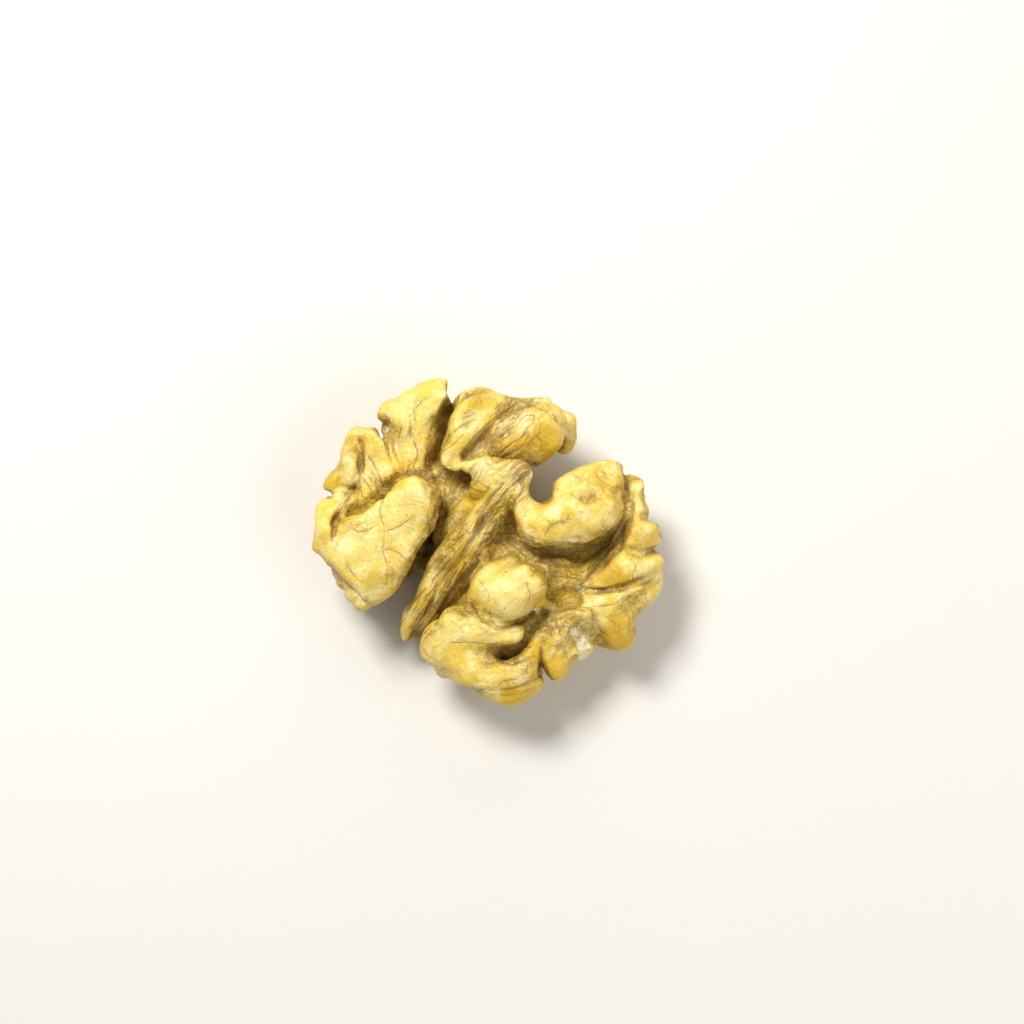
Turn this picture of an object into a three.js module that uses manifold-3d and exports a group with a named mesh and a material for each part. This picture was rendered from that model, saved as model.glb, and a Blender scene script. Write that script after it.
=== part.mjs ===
// A walnut kernel: one shelled half, lying on its rounded back with the inner face up.
// Its folds are laid out in a face frame first, in mm: x to the right, y up and z out of the inner face.
import * as THREE from 'three'
import { mergeVertices } from 'three/addons/utils/BufferGeometryUtils.js'
import Module from 'manifold-3d'

const wasm = await Module()
wasm.setup()

// Driving dimensions, in mm and degrees
const KERNEL_WIDTH = 32.4 // across both lobes, which the outlines below are drawn for
const FACE_BOX = { low: [-17.6, -16.4, -10.4], high: [17.6, 16.8, 6.8] }
const CELL = 0.84 // spacing of the grid that the surface is taken from
const RELAX_PASSES = 2 // how often its points are evened out
const REST_PITCH = 5 // the inner face leans towards the front by this
const REST_ROLL = 0 // and to the right by this
const FLAT_DEPTH = 0.35 // how much of the lowest folds is pressed flat where the kernel rests
const FOLD_WANDER = 0.7 // how far a back fold strays to either side
const WANDER_LENGTH = 9 // over this length of it
const FOLD_SWELL = 0.11 // how much of its radius a back fold swells and narrows
const SWELL_LENGTH = 5.2 // from one knob of it to the next
const FOLD_SAG = 0.07 // how far its middle bulges out, as a share of its length
const FOLD_TAPER = 0.22 // how much thinner it is at the rim
const CREASE_DEPTH = 1.1 // of the creases between back folds
const CREASE_WIDTH = 1.5 // across, near the surface
const FRONT_LEVEL = -3.2 // the creases of the inner face fade out below this height
const FRONT_FADE = 0.35 // within about this much
const CROWN_REACH = 3 // a plate rises to its full crown this far in from its outline

// How softly neighbouring forms run into each other
const BLEND = {
  body: 0.7, backFold: 0.2, backToBody: 0.25, front: 0.2, frontToBody: 0.25, hollow: 0.35, cleft: 0.4,
}

// Every fold below is a list of [x, y, z, radius] along its middle line.
// Every plate is { outline: [x, y] points, level, slope: [across, up], edge radius, crown }.

const PAD = {
  blend: 0.45,
  folds: [[[-15, 3, -0.9, 1.05], [-14.2, 3.3, -0.7, 1.1], [-13.6, 2.4, -0.4, 1]]],
  plates: [
    {
      outline: [
        [-16.1, 1.2], [-15.8, -0.9], [-14.7, -2.9], [-13, -4.7], [-12, -5.8], [-11.3, -5.9], [-10, -5.1],
        [-8.7, -4.3], [-7.5, -2.4], [-6.1, -0.3], [-4.7, 2], [-4.5, 3.6], [-5.4, 5.1], [-7.1, 5.9],
        [-8.9, 5.2], [-10.4, 3.8], [-12.4, 2.4], [-14.2, 2.6], [-15.6, 2.6],
      ],
      level: 0.5, slope: [0.1, 0.1], edge: 1.45, crown: 0.75,
    },
  ],
}

const UPPER_LEFT_FRINGE = {
  blend: 0.3,
  folds: [
    [[-14, 5.3, -1.9, 1.15], [-12.8, 6.3, -1.3, 1.5], [-11.8, 5.6, -1.2, 1.4], [-10.6, 4.2, -1.4, 1.1]],
    [[-11.9, 9.7, -1.7, 1.2], [-11.1, 8.6, -1.1, 1.4], [-10.2, 6.8, -0.9, 1.4], [-9.4, 5.2, -1.2, 1.2]],
    [[-12.7, 8.4, -2, 1.1], [-12.6, 7, -1.6, 1.3]],
    [[-13.6, 4, -1.4, 1.2], [-11.8, 3.6, -1, 1.2], [-10.4, 4.4, -1, 1]],
    [[-10.1, 9.7, -1.5, 1.2], [-9, 8.6, -0.9, 1.3], [-8.2, 7.2, -0.7, 1.3], [-7.4, 6, -0.9, 1.1]],
    [[-8.8, 12.1, -1.8, 1.3], [-8, 10.8, -1, 1.5], [-7.4, 9, -0.7, 1.3], [-6.6, 7.4, -0.8, 1.1]],
    [
      [-5.3, 14, -1.5, 1.3], [-5.8, 12, -0.8, 1.9], [-5.6, 10.2, -0.6, 1.6], [-5.6, 8.4, -0.8, 1.2],
      [-5.4, 6.8, -1.2, 1.1],
    ],
    [[-7.2, 13.2, -1.7, 1.1], [-7.1, 11.8, -1.2, 1.2]],
  ],
  plates: [],
}

const HOOD = {
  blend: 0.55,
  folds: [
    [
      [-4, 7.6, 0.7, 0.9], [-3.7, 8.8, 0.9, 1.2], [-2.7, 10.6, 0.8, 1.5], [-1.2, 12, 0.2, 1.6],
      [0.8, 12.6, -0.6, 1.5], [3, 12.3, -0.9, 1.3], [4.3, 12.5, -1, 1],
    ],
    [[4.6, 12, -0.3, 1], [5.4, 10.9, 0, 1.3], [5.1, 9.6, 0, 1.3], [4.2, 8.6, -0.4, 1.1]],
  ],
  plates: [
    {
      outline: [
        [-3.2, 7.2], [-3.2, 9.2], [-1.8, 11.4], [0.4, 12.4], [3, 12.2], [5, 11], [5.2, 9.4], [4, 8.2],
        [1.4, 7.2], [-1, 6.8],
      ],
      level: -0.2, slope: [-0.06, -0.04], edge: 1.3, crown: 0,
    },
  ],
}

const HOOD_RIM = {
  blend: 0.3,
  folds: [
    [
      [4.4, 12.8, -1.4, 0.75], [5.6, 11.8, -1.4, 0.7], [6.8, 10.9, -1.4, 0.85], [7, 9.9, -1.8, 0.75],
      [6.6, 9, -2.2, 0.75],
    ],
    [[-3.2, 12.4, -1.8, 1.1], [-1.6, 13.2, -1.8, 1], [1.2, 13, -1.8, 1]],
  ],
  plates: [],
}

// The crest runs between the two lobes and turns over into the arm, which curls round to the right.
const CREST_AND_ARM = {
  blend: 0.42,
  folds: [
    [
      [-7.7, -8.2, -2.9, 0.5], [-6.8, -6.2, -2, 0.6], [-5.6, -3.6, -0.7, 0.75], [-3.9, -0.8, 0.5, 0.8],
      [-2, 1.6, 1.4, 0.7], [-0.2, 3.5, 2.1, 0.6], [1.4, 5, 2.7, 0.6], [3.2, 6.5, 3.2, 0.5],
    ],
    [
      [-6.7, -7.5, -3, 0.8], [-4.9, -5.3, -2.1, 1.2], [-3.2, -2.8, -0.9, 1.5], [-1.4, -0.4, 0, 1.45],
      [0.2, 2, 0.7, 1.15], [1.4, 3.8, 1.4, 1],
    ],
    [[-4.2, 1, -1, 0.9], [-2.8, 2.6, -0.3, 0.9], [-1.2, 4.2, 0.6, 0.9], [0.2, 5.6, 1.4, 1]],
    [
      [3, 6.2, 2.2, 0.8], [2.5, 4.9, 2, 1], [2.6, 3.5, 2.1, 1.2], [3.6, 2.2, 2.3, 1.6],
      [5.4, 1.7, 2.5, 1.8], [7.8, 2.2, 2, 2.15], [10, 3.3, 1.1, 2.2], [11.2, 4.8, 0.1, 1.8],
    ],
    [[7.2, 4.6, 1.1, 1.8], [9.4, 5.6, 0.7, 1.6], [11, 6.3, -0.2, 1.3]],
  ],
  plates: [
    {
      outline: [
        [-3.9, 6.9], [-3, 7.6], [-0.8, 7.9], [1.6, 7.6], [3.6, 7.6], [3.8, 6.6], [2.4, 5.5], [0.8, 4.6],
        [-0.4, 5], [-1.4, 5.9], [-2.6, 6.4],
      ],
      level: 2.3, slope: [0.24, 0], edge: 0.75, crown: 0,
    },
  ],
}

const RIGHT_EDGE = {
  blend: 0.3,
  folds: [
    [[12.2, 6.3, -1.2, 1], [13.1, 4.8, -0.8, 1.2], [13.4, 3, -0.5, 1.4], [13.2, 1.4, -0.3, 1.4]],
    [[14.7, 0.8, -1.2, 1.2], [13.6, 0.9, -0.4, 1.4], [12.2, 0.2, -0.1, 1]],
  ],
  plates: [],
}

const RIGHT_LOBE = {
  blend: 0.4,
  folds: [
    [
      [14.4, -1.8, -1.3, 1.65], [13.2, -1.9, -0.4, 1.75], [11.6, -2.4, -0.2, 1.5], [9.8, -3.3, -0.3, 1],
    ],
  ],
  plates: [],
}

const LOWER_RIGHT_LOBE = {
  blend: 0.45,
  folds: [
    [[12.1, -8.6, -2, 1.3], [12, -7.2, -1.2, 1.8], [11.4, -6.2, -0.8, 1.7], [10.4, -5.9, -0.7, 1.2]],
    [[14.2, -4, -1.4, 1.2], [12.7, -4.8, -0.7, 1.3], [10.8, -5.2, -0.4, 1.2], [9.2, -5.6, -0.3, 0.9]],
    [[14.2, -3.1, -1.9, 1.2], [12.8, -3.4, -1.3, 1.3], [11.2, -3.8, -1.1, 1.2]],
  ],
  plates: [],
}

const KNOB = {
  blend: 0.3,
  folds: [[[1, -4.3, 0.7, 3], [1.9, -4.1, 0.8, 3.05]]],
  plates: [],
}

const LOWER_LEFT_LOBE = {
  blend: 0.4,
  folds: [
    [[-4, -8.2, -0.1, 1.75], [-2.6, -7.3, 0.6, 1.9], [-0.4, -7.8, 1.1, 1.6], [1.6, -8, 1.1, 1.2]],
    [
      [-4.3, -10, -0.8, 1.5], [-2.9, -10.9, -0.3, 1.7], [-0.9, -11.7, 0, 1.6], [1.4, -12, 0.2, 1.4],
      [3, -11.3, 0.4, 1.3], [3.9, -10, 0.2, 0.9], [4.4, -8.8, -0.2, 0.8],
    ],
    [[-4.2, -8.9, -0.3, 1.7], [-2.4, -9.2, 0.1, 1.6], [-0.9, -9.6, 0, 1.3]],
  ],
  plates: [],
}

const LOWEST_LOBE = {
  blend: 0.35,
  folds: [
    [
      [-1.4, -12.1, -1, 1.1], [0.6, -13, -0.9, 1.3], [2.2, -13.2, -0.7, 1.6], [3.3, -12.6, -0.6, 1.4],
    ],
  ],
  plates: [],
}

const BROKEN_LOBE = {
  blend: 0.35,
  folds: [
    [[5.2, -8.4, -0.3, 1.1], [5.9, -9.7, -0.5, 1.5], [6, -11, -0.9, 1.4]],
    [[7.3, -8, -0.3, 1.1], [7.9, -9.2, -0.8, 1.2], [8.6, -9.4, -1.2, 1]],
  ],
  plates: [],
}

// Low ridges in the shallow field between the arm, the knob and the right lobes
const FIELD_RIDGES = {
  blend: 0.3,
  folds: [
    [[5.2, -5.6, -0.3, 0.7], [6.6, -6.4, -0.3, 0.8], [8.4, -6.4, -0.4, 0.9]],
    [[5, -3.4, -0.2, 0.6], [6.6, -3, 0, 0.65], [8.2, -3.2, 0.1, 0.7]],
    [[11.8, 0.6, -0.3, 0.6], [10.4, -1.4, -0.2, 0.6], [8.8, -3, 0, 0.6]],
    [[3.6, -1, -0.3, 0.5], [5.4, -1.6, -0.1, 0.5], [7.4, -1.9, -0.1, 0.5]],
  ],
  plates: [],
}

const FRONT_FORMS = [
  PAD, UPPER_LEFT_FRINGE, HOOD, HOOD_RIM, CREST_AND_ARM, RIGHT_EDGE, RIGHT_LOBE, LOWER_RIGHT_LOBE, KNOB,
  LOWER_LEFT_LOBE, LOWEST_LOBE, BROKEN_LOBE, FIELD_RIDGES,
]

// The flesh under the folds: the bridge between the lobes, then the floor of each lobe
const BODY = {
  blend: BLEND.body,
  folds: [
    [[-6.8, -7, -4, 0.8], [-4.6, -3, -3, 1.5], [-2, 0.4, -2, 1.9], [0.8, 3, -1, 1.9], [2, 5.2, -0.2, 1.3]],
    [
      [-12.2, 3.4, -3.3, 2], [-9.5, 3.4, -3.4, 2.4], [-7, 5.6, -3.4, 2.6], [-4, 7.5, -3, 2.6],
      [-0.5, 9.2, -3, 2.6], [3, 9.8, -3.4, 2],
    ],
    [[-4.4, 3.4, -2.6, 1.8], [-2.2, 5.6, -2, 1.8]],
    [[-12.6, -1.6, -2.6, 2.2], [-10.6, -2, -2.8, 2.2], [-9.6, 0.2, -3, 2.4]],
    [
      [2.4, -1, -2.5, 2.5], [6, -2.2, -2.4, 2.6], [9.5, -1.8, -2.5, 2.6], [11.2, 2, -2.9, 2.4],
      [8.4, 4, -2.6, 2.2],
    ],
    [[5.4, 1.4, 0.4, 1.4], [8.2, 2, 0.2, 1.6], [10.2, 3.4, -0.4, 1.6]],
    [[-1.8, -6.8, -2.4, 2.5], [2, -8.2, -2.5, 2.6], [6, -6.6, -2.6, 2.6], [9.5, -5.2, -2.9, 2.5]],
    [[5, -4.4, -2.2, 2], [8, -4.6, -2.2, 2], [9.6, -6.6, -2.8, 2]],
    [[-1.5, -2.2, -3, 2], [3, -4, -2.6, 2.6]],
  ],
  plates: [
    {
      outline: [
        [-6, 13.7], [-5, 13.8], [-4.2, 12.4], [-2, 13.1], [1.2, 12.9], [4.2, 12.5], [5.2, 11.4],
        [6.5, 10.5], [6.2, 9.6], [5, 8.8], [2.4, 7.2], [-1, 5], [-4.5, 3], [-6.2, 0.4], [-7.8, -2.2],
        [-8.8, -3.6], [-10.2, -4.2], [-11.6, -4.6], [-13.5, -2.6], [-14.9, -0.4], [-15, 1.8], [-14.2, 3.4],
        [-13.4, 4.6], [-13.7, 5.6], [-13, 7], [-11.8, 8.6], [-11.6, 9.6], [-10.4, 9.6], [-9.2, 10.7],
        [-7.9, 11.8], [-6.9, 12.5],
      ],
      level: -3, slope: [0, 0], edge: 1.15, crown: 0,
    },
    {
      outline: [
        [3.4, 2.9], [5.4, 3.2], [6.8, 5], [8, 5.8], [9.5, 6.2], [11, 6.4], [12.3, 5.8], [13, 4.8],
        [13.8, 3.2], [14, 1.8], [14.8, 0.6], [14.6, -0.6], [14.9, -1.8], [14.5, -3], [13.2, -4],
        [12.8, -5.4], [12.3, -7.4], [11.8, -8.6], [10.4, -7.8], [9.2, -8.2], [7.4, -9.8], [6.6, -10.7],
        [4.6, -11.4], [3.5, -12], [3.3, -13], [2, -13.6], [0.2, -12.8], [-2, -11.7], [-4, -10.5],
        [-5.4, -9.4], [-5.4, -7.6], [-4, -5], [-2, -2], [0, 0.5],
      ],
      level: -3, slope: [0, 0], edge: 1.15, crown: 0,
    },
  ],
}

// The folds of the rounded back. Long ones start beside the middle furrow and short ones part way out,
// and each ends in a knob on the rim.
const BACK_FOLDS = [
  { from: [-7, -1.6, -5.2], to: [-12.8, -3, -2.4], radius: 1.8 },
  { from: [-5.6, 0.9, -6.2], to: [-14.3, 2.6, -2.8], radius: 2 },
  { from: [-3.4, 3.6, -6.6], to: [-11.4, 8.8, -3], radius: 2 },
  { from: [-0.9, 5.8, -6.6], to: [-4.8, 13, -3], radius: 2 },
  { from: [1.6, 7.4, -5.8], to: [3.4, 12, -2.9], radius: 1.9 },
  { from: [-10.4, -0.6, -5.2], to: [-14.2, -0.6, -2.6], radius: 1.6 },
  { from: [-9.4, 3.6, -6], to: [-13.2, 5.4, -3], radius: 1.7 },
  { from: [-6.4, 7.2, -6.2], to: [-8.2, 11.3, -3], radius: 1.7 },
  { from: [-1.4, 9.2, -5.8], to: [-0.6, 12.8, -3], radius: 1.6 },
  { from: [4, 8.9, -5], to: [6.2, 10.4, -2.8], radius: 1.4 },
  { from: [4.6, 1.8, -5.2], to: [11, 5.4, -2.8], radius: 1.9 },
  { from: [3.6, -0.8, -6], to: [13.9, 0.6, -3], radius: 2 },
  { from: [1.6, -3, -5.6], to: [12.8, -4.6, -3], radius: 2 },
  { from: [-0.6, -4.9, -5.1], to: [7.6, -9.6, -2.9], radius: 2 },
  { from: [-3, -6.3, -4.5], to: [-0.6, -11.9, -2.6], radius: 1.9 },
  { from: [9.2, 2.2, -5.4], to: [13, 3.6, -2.9], radius: 1.6 },
  { from: [9.8, -2, -5.5], to: [13.9, -2.2, -3], radius: 1.7 },
  { from: [7.6, -5.4, -4.8], to: [11.2, -8, -2.8], radius: 1.7 },
  { from: [3.2, -8.6, -4.5], to: [3.4, -12.3, -2.6], radius: 1.7 },
  { from: [-4.4, -7.4, -4], to: [-4.4, -9.8, -2.4], radius: 1.4 },
]

// Hollows carved in the inner face
const HOLLOWS = [
  [
    [-6, 4.8, 0.4, 0.9], [-5, 3, -0.2, 0.8], [-5.4, 1.4, -0.6, 0.9], [-6.6, -0.8, -1.4, 0.9],
    [-7.4, -3, -2.4, 0.9],
  ],
  [[-3.6, 5.6, 0.5, 0.8], [-2.4, 5, 0.7, 1], [-1, 4.9, 1.2, 0.6]],
  [[-0.3, 8.9, 2.1, 1.7], [1.6, 9.6, 1.6, 1.7], [2.5, 9, 1.2, 1.5], [3.1, 8.4, 0.8, 1.1]],
  [[2.6, 0.2, 0.6, 0.8], [5, -0.8, 0.2, 0.7], [8, -0.6, 0, 0.8], [10.4, 0, -0.2, 0.7]],
  [[0.9, -9.8, 1.1, 0.7], [1.8, -10, 0.9, 0.9], [2.7, -9.6, 1, 0.7]],
  [[3.4, -8.6, 0.2, 0.6], [4.2, -7.2, 0.2, 0.6], [5, -6.2, 0.3, 0.4]],
  [[-0.2, -0.6, 1.2, 0.8], [-2.2, -3.6, 0, 0.9], [-4, -6, -1.3, 0.8], [-5.9, -8.6, -2.2, 0.8]],
  [[6, -4.8, 0.4, 0.7], [7.4, -5, 0.4, 0.7]],
]

// The two clefts between the lobes go right through the kernel: [x, y, half width] along each
const CLEFTS = [
  [[-10.5, -10, 2.2], [-8.6, -7, 1.1], [-7.5, -4.6, 0.75], [-7, -3.2, 0.45]],
  [[9, 10, 1.5], [6.2, 7.6, 0.95], [4.8, 5.8, 0.8], [4.3, 4.7, 0.65]],
]

// Creases pressed into the inner face between neighbouring lobes: [x, y] points, depth and width
const GROOVES = [
  {
    line: [[-2.1, 7.7], [-1, 9.3], [0.2, 10.7], [1.7, 12.2], [3.5, 12.9], [5.2, 12.6]],
    depth: 0.4, width: 0.45,
  },
  { line: [[-4, 13.8], [-3.8, 11.2], [-4.3, 9.1], [-5.3, 7.2]], depth: 0.75, width: 0.5 },
  { line: [[-6.9, 12.6], [-7.4, 9.8], [-6.9, 7.4]], depth: 0.3, width: 0.5 },
  { line: [[-9.8, 10.5], [-8.6, 8.4], [-8.1, 6.3]], depth: 0.55, width: 0.45 },
  { line: [[-11.7, 9.3], [-11.9, 6.7], [-12.8, 4.6]], depth: 0.45, width: 0.45 },
  { line: [[-11, 8.1], [-10.4, 6], [-9.1, 4.9]], depth: 0.4, width: 0.45 },
  { line: [[-13.8, 7], [-13.5, 5.3]], depth: 0.3, width: 0.4 },
  { line: [[-14.8, 4.4], [-13.6, 3], [-14.2, 0.8]], depth: 0.4, width: 0.4 },
  {
    line: [[12.4, 7.4], [12.6, 5], [12.9, 2.6], [11.4, -0.2], [9.3, -2.7], [8, -4]],
    depth: 0.45, width: 0.45,
  },
  { line: [[8.7, -4], [11.4, -3.9], [13.8, -3], [15.7, -2.3]], depth: 0.3, width: 0.4 },
  { line: [[15.7, -0.2], [13.8, -0.6], [12.1, -0.9]], depth: 0.25, width: 0.4 },
  { line: [[15.4, 2.4], [13.9, 2.4]], depth: 0.2, width: 0.4 },
  { line: [[2.6, 6], [1.7, 3.9], [1.5, 1.9]], depth: 0.35, width: 0.5 },
  { line: [[-1.7, -6.1], [-0.3, -7.1], [1.7, -7.1], [3.8, -6.1]], depth: 0.35, width: 0.45 },
  { line: [[4.7, -9.4], [4.9, -12.3]], depth: 0.25, width: 0.4 },
  { line: [[7.6, -7.8], [8.1, -9.9]], depth: 0.35, width: 0.45 },
  { line: [[4.8, -6.1], [6.9, -5.8], [8.7, -6.4]], depth: 0.3, width: 0.45 },
  { line: [[-14.7, -2.2], [-12.9, -3.9], [-10.8, -5]], depth: 0.25, width: 0.45 },
  { line: [[7.2, 5.7], [9.2, 6], [10.8, 5.5], [12.2, 4.8]], depth: 0.35, width: 0.4 },
  { line: [[7.8, 4.6], [8.8, 4.1], [9.8, 4.4]], depth: 0.25, width: 0.45 },
  { line: [[10.4, 6.7], [11.4, 4.9]], depth: 0.3, width: 0.4 },
  { line: [[1, 4.6], [-0.6, 1.9], [-2.6, -1], [-4.5, -3.8], [-6.3, -6.6]], depth: 0.2, width: 0.4 },
  { line: [[0.5, 0.9], [-1.4, -1.6], [-3.2, -4.2], [-4.9, -6.7]], depth: 0.3, width: 0.4 },
  { line: [[-9.6, 4.4], [-9.5, 1.4], [-9.2, -2.6]], depth: 0.25, width: 0.7 },
]

// Slow waves that bend every form a little, as growth does: direction per mm, phase and push in mm
const WAVES = [
  { along: [0.9, 0.5, 0.3], phase: 0.3, push: [0.22, 0.1, 0.18] },
  { along: [-0.4, 1, 0.5], phase: 1.9, push: [0.1, 0.22, 0.15] },
  { along: [0.5, -0.7, 0.9], phase: 4, push: [0.18, 0.14, 0.12] },
  { along: [1.9, 1.1, -0.8], phase: 2.2, push: [0.1, 0.08, 0.08] },
  { along: [-1.2, 1.8, 1.4], phase: 0.8, push: [0.08, 0.1, 0.07] },
  { along: [1.4, -2, 1.6], phase: 5.1, push: [0.07, 0.07, 0.09] },
]

// A fixed draw between 0 and 1 for each number
function chance(n) {
  const v = Math.sin(n * 12.9898 + 4.1) * 43758.5453
  return v - Math.floor(v)
}

// A smooth run through hand-placed points, each a list of numbers
function smoothRun(points, steps, closed = false) {
  const count = points.length
  const at = (i) => {
    if (closed) return points[(i + count) % count]
    if (i < 0) return points[0].map((v, c) => 2 * v - points[1][c])
    if (i >= count) return points[count - 1].map((v, c) => 2 * v - points[count - 2][c])
    return points[i]
  }
  const run = []
  for (let i = 0; i < (closed ? count : count - 1); i++) {
    const [a, b, c, d] = [at(i - 1), at(i), at(i + 1), at(i + 2)]
    for (let s = 0; s < steps; s++) {
      const t = s / steps
      run.push(b.map((_, n) => 0.5 * (2 * b[n] + (c[n] - a[n]) * t
        + (2 * a[n] - 5 * b[n] + 4 * c[n] - d[n]) * t * t
        + (3 * b[n] - a[n] - 3 * c[n] + d[n]) * t ** 3)))
    }
  }
  if (!closed) run.push(points[count - 1])
  return run
}

// The middle line of a back fold: it sags below a quarter ellipse, wanders sideways and swells into knobs
function backFold({ from, to, radius }, n) {
  const steps = 12
  const dx = to[0] - from[0]
  const dy = to[1] - from[1]
  const length = Math.hypot(dx, dy)
  const line = []
  for (let i = 0; i <= steps; i++) {
    const u = i / steps
    const wander = FOLD_WANDER * Math.sin(2 * Math.PI * ((u * length) / WANDER_LENGTH + chance(n)))
    const swell = 1 + FOLD_SWELL * Math.sin(2 * Math.PI * ((u * length) / SWELL_LENGTH + chance(n + 0.37)))
    const fall = (from[2] - to[2]) * Math.sqrt(1 - u * u) - FOLD_SAG * length * Math.sin(Math.PI * u)
    line.push([
      from[0] + dx * u - (dy / length) * wander,
      from[1] + dy * u + (dx / length) * wander,
      to[2] + fall,
      radius * swell * (1 - FOLD_TAPER * u * u),
    ])
  }
  return line
}

// Distance from a point to a round ridge whose line is made of [x, y, z, radius]
function ridgeDistance(p, line) {
  let least = Infinity
  for (let i = 0; i + 1 < line.length; i++) {
    const a = line[i]
    const b = line[i + 1]
    const ab = [b[0] - a[0], b[1] - a[1], b[2] - a[2]]
    const ap = [p[0] - a[0], p[1] - a[1], p[2] - a[2]]
    const along = (ap[0] * ab[0] + ap[1] * ab[1] + ap[2] * ab[2]) / (ab[0] ** 2 + ab[1] ** 2 + ab[2] ** 2)
    const t = Math.min(1, Math.max(0, along))
    const away = Math.hypot(ap[0] - t * ab[0], ap[1] - t * ab[1], ap[2] - t * ab[2])
    least = Math.min(least, away - (a[3] + t * (b[3] - a[3])))
  }
  return least
}

// Distance in the face's own plane from a closed outline, less than 0 inside it
function outlineDistance(x, y, outline) {
  let least = Infinity
  let inside = false
  for (let i = 0; i < outline.length; i++) {
    const [ax, ay] = outline[i]
    const [bx, by] = outline[(i + 1) % outline.length]
    const [ux, uy] = [bx - ax, by - ay]
    const t = Math.min(1, Math.max(0, ((x - ax) * ux + (y - ay) * uy) / (ux * ux + uy * uy)))
    least = Math.min(least, Math.hypot(x - ax - t * ux, y - ay - t * uy))
    if (ay > y !== by > y && x < ax + ((y - ay) / uy) * ux) inside = !inside
  }
  return inside ? -least : least
}

// Distance from a tilted plate with a round edge and a crowned middle
function plateDistance(p, { outline, middle, level, slope, edge, crown }) {
  const inward = outlineDistance(p[0], p[1], outline)
  const height = level + slope[0] * (p[0] - middle[0]) + slope[1] * (p[1] - middle[1])
    + crown * Math.min(1, Math.max(0, -inward / CROWN_REACH))
  return Math.hypot(Math.max(inward + edge, 0), p[2] - height) - edge
}

// Distance in the face's own plane from a line of [x, y, half width]
function flatDistance(p, line) {
  return ridgeDistance([p[0], p[1], 0], line.map(([x, y, half]) => [x, y, 0, half]))
}

// How deep the creases of the inner face are at a point
function grooveDepth(p) {
  const depths = GROOVES.map(({ depth, width }, n) => {
    const away = flatDistance(p, grooveLines[n])
    return depth * Math.exp(-((away / width) ** 2))
  })
  return Math.max(...depths) / (1 + Math.exp((FRONT_LEVEL - p[2]) / FRONT_FADE))
}

function softLeast(distances, k) {
  const least = Math.min(...distances)
  return least - k * Math.log(distances.reduce((sum, d) => sum + Math.exp((least - d) / k), 0))
}

const softMost = (a, b, k) => -softLeast([-a, -b], k)

// Each form with its lines made smooth once
function prepared({ blend, folds, plates }) {
  return {
    blend,
    lines: folds.map((points) => smoothRun(points, 4)),
    plates: plates.map((plate) => {
      const outline = smoothRun(plate.outline, 4, true)
      const middle = [0, 1].map((c) => outline.reduce((sum, q) => sum + q[c], 0) / outline.length)
      return { ...plate, outline, middle }
    }),
  }
}

const frontForms = FRONT_FORMS.map(prepared)
const body = prepared(BODY)
const backLines = BACK_FOLDS.map((fold, n) => backFold(fold, n + 1))
const hollowLines = HOLLOWS.map((points) => smoothRun(points, 4))
const cleftLines = CLEFTS.map((points) => smoothRun(points, 5))
const grooveLines = GROOVES.map(({ line }) => smoothRun(line, 4).map(([x, y]) => [x, y, 0]))

function formDistance(p, { blend, lines, plates }) {
  const toLines = lines.map((line) => ridgeDistance(p, line))
  const toPlates = plates.map((plate) => plateDistance(p, plate))
  return softLeast([...toLines, ...toPlates], blend)
}

// The back folds side by side, with a crease wherever a point is as near to one fold as to the next
function backDistance(p) {
  const distances = backLines.map((line) => ridgeDistance(p, line))
  const [nearest, second] = [...distances].sort((a, b) => a - b)
  const crease = CREASE_DEPTH * Math.exp(-(((second - nearest) / CREASE_WIDTH) ** 2))
  return softLeast(distances, BLEND.backFold) + crease
}

// Distance from the kernel's surface, less than 0 inside the kernel
function kernelDistance(x, y, z) {
  const p = [x, y, z]
  for (const { along, phase, push } of WAVES) {
    const wave = Math.sin(along[0] * x + along[1] * y + along[2] * z + phase)
    push.forEach((amount, c) => (p[c] += amount * wave))
  }
  let flesh = softLeast([formDistance(p, body), backDistance(p)], BLEND.backToBody)
  const hollow = softLeast(hollowLines.map((line) => ridgeDistance(p, line)), BLEND.hollow)
  flesh = softMost(flesh, -hollow, BLEND.hollow)
  for (const line of cleftLines) flesh = softMost(flesh, -flatDistance(p, line), BLEND.cleft)
  const front = softLeast(frontForms.map((form) => formDistance(p, form)), BLEND.front)
  return softLeast([flesh, front], BLEND.frontToBody) + grooveDepth(p)
}

// The grid of distances over the face box
function distanceGrid() {
  const size = [0, 1, 2].map((c) => Math.ceil((FACE_BOX.high[c] - FACE_BOX.low[c]) / CELL) + 1)
  const values = new Float64Array(size[0] * size[1] * size[2])
  const index = (i, j, k) => (k * size[1] + j) * size[0] + i
  const place = (i, j, k) => [i, j, k].map((n, c) => FACE_BOX.low[c] + n * CELL)
  for (let k = 0; k < size[2]; k++) {
    for (let j = 0; j < size[1]; j++) {
      for (let i = 0; i < size[0]; i++) values[index(i, j, k)] = kernelDistance(...place(i, j, k))
    }
  }
  return { size, values, index, place }
}

const CORNERS = [0, 1, 2, 3, 4, 5, 6, 7].map((n) => [n & 1, (n >> 1) & 1, n >> 2])
const EDGES = [
  [0, 1], [0, 2], [0, 4], [1, 3], [1, 5], [2, 3], [2, 6], [3, 7], [4, 5], [4, 6], [5, 7], [6, 7],
]

// Whether the chosen corners of a cell hang together along its edges
function hangTogether(chosen) {
  if (chosen.length < 2) return true
  const reached = new Set([chosen[0]])
  for (let pass = 0; pass < chosen.length; pass++) {
    for (const [n, m] of EDGES) {
      if (!chosen.includes(n) || !chosen.includes(m)) continue
      if (reached.has(n) || reached.has(m)) reached.add(n).add(m)
    }
  }
  return reached.size === chosen.length
}

// The six grid points round a grid point
function neighbours(i, j, k) {
  return [[i - 1, j, k], [i + 1, j, k], [i, j - 1, k], [i, j + 1, k], [i, j, k - 1], [i, j, k + 1]]
}

// A value that puts a grid point just inside the surface
const JUST_INSIDE = -0.05 * CELL

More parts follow.
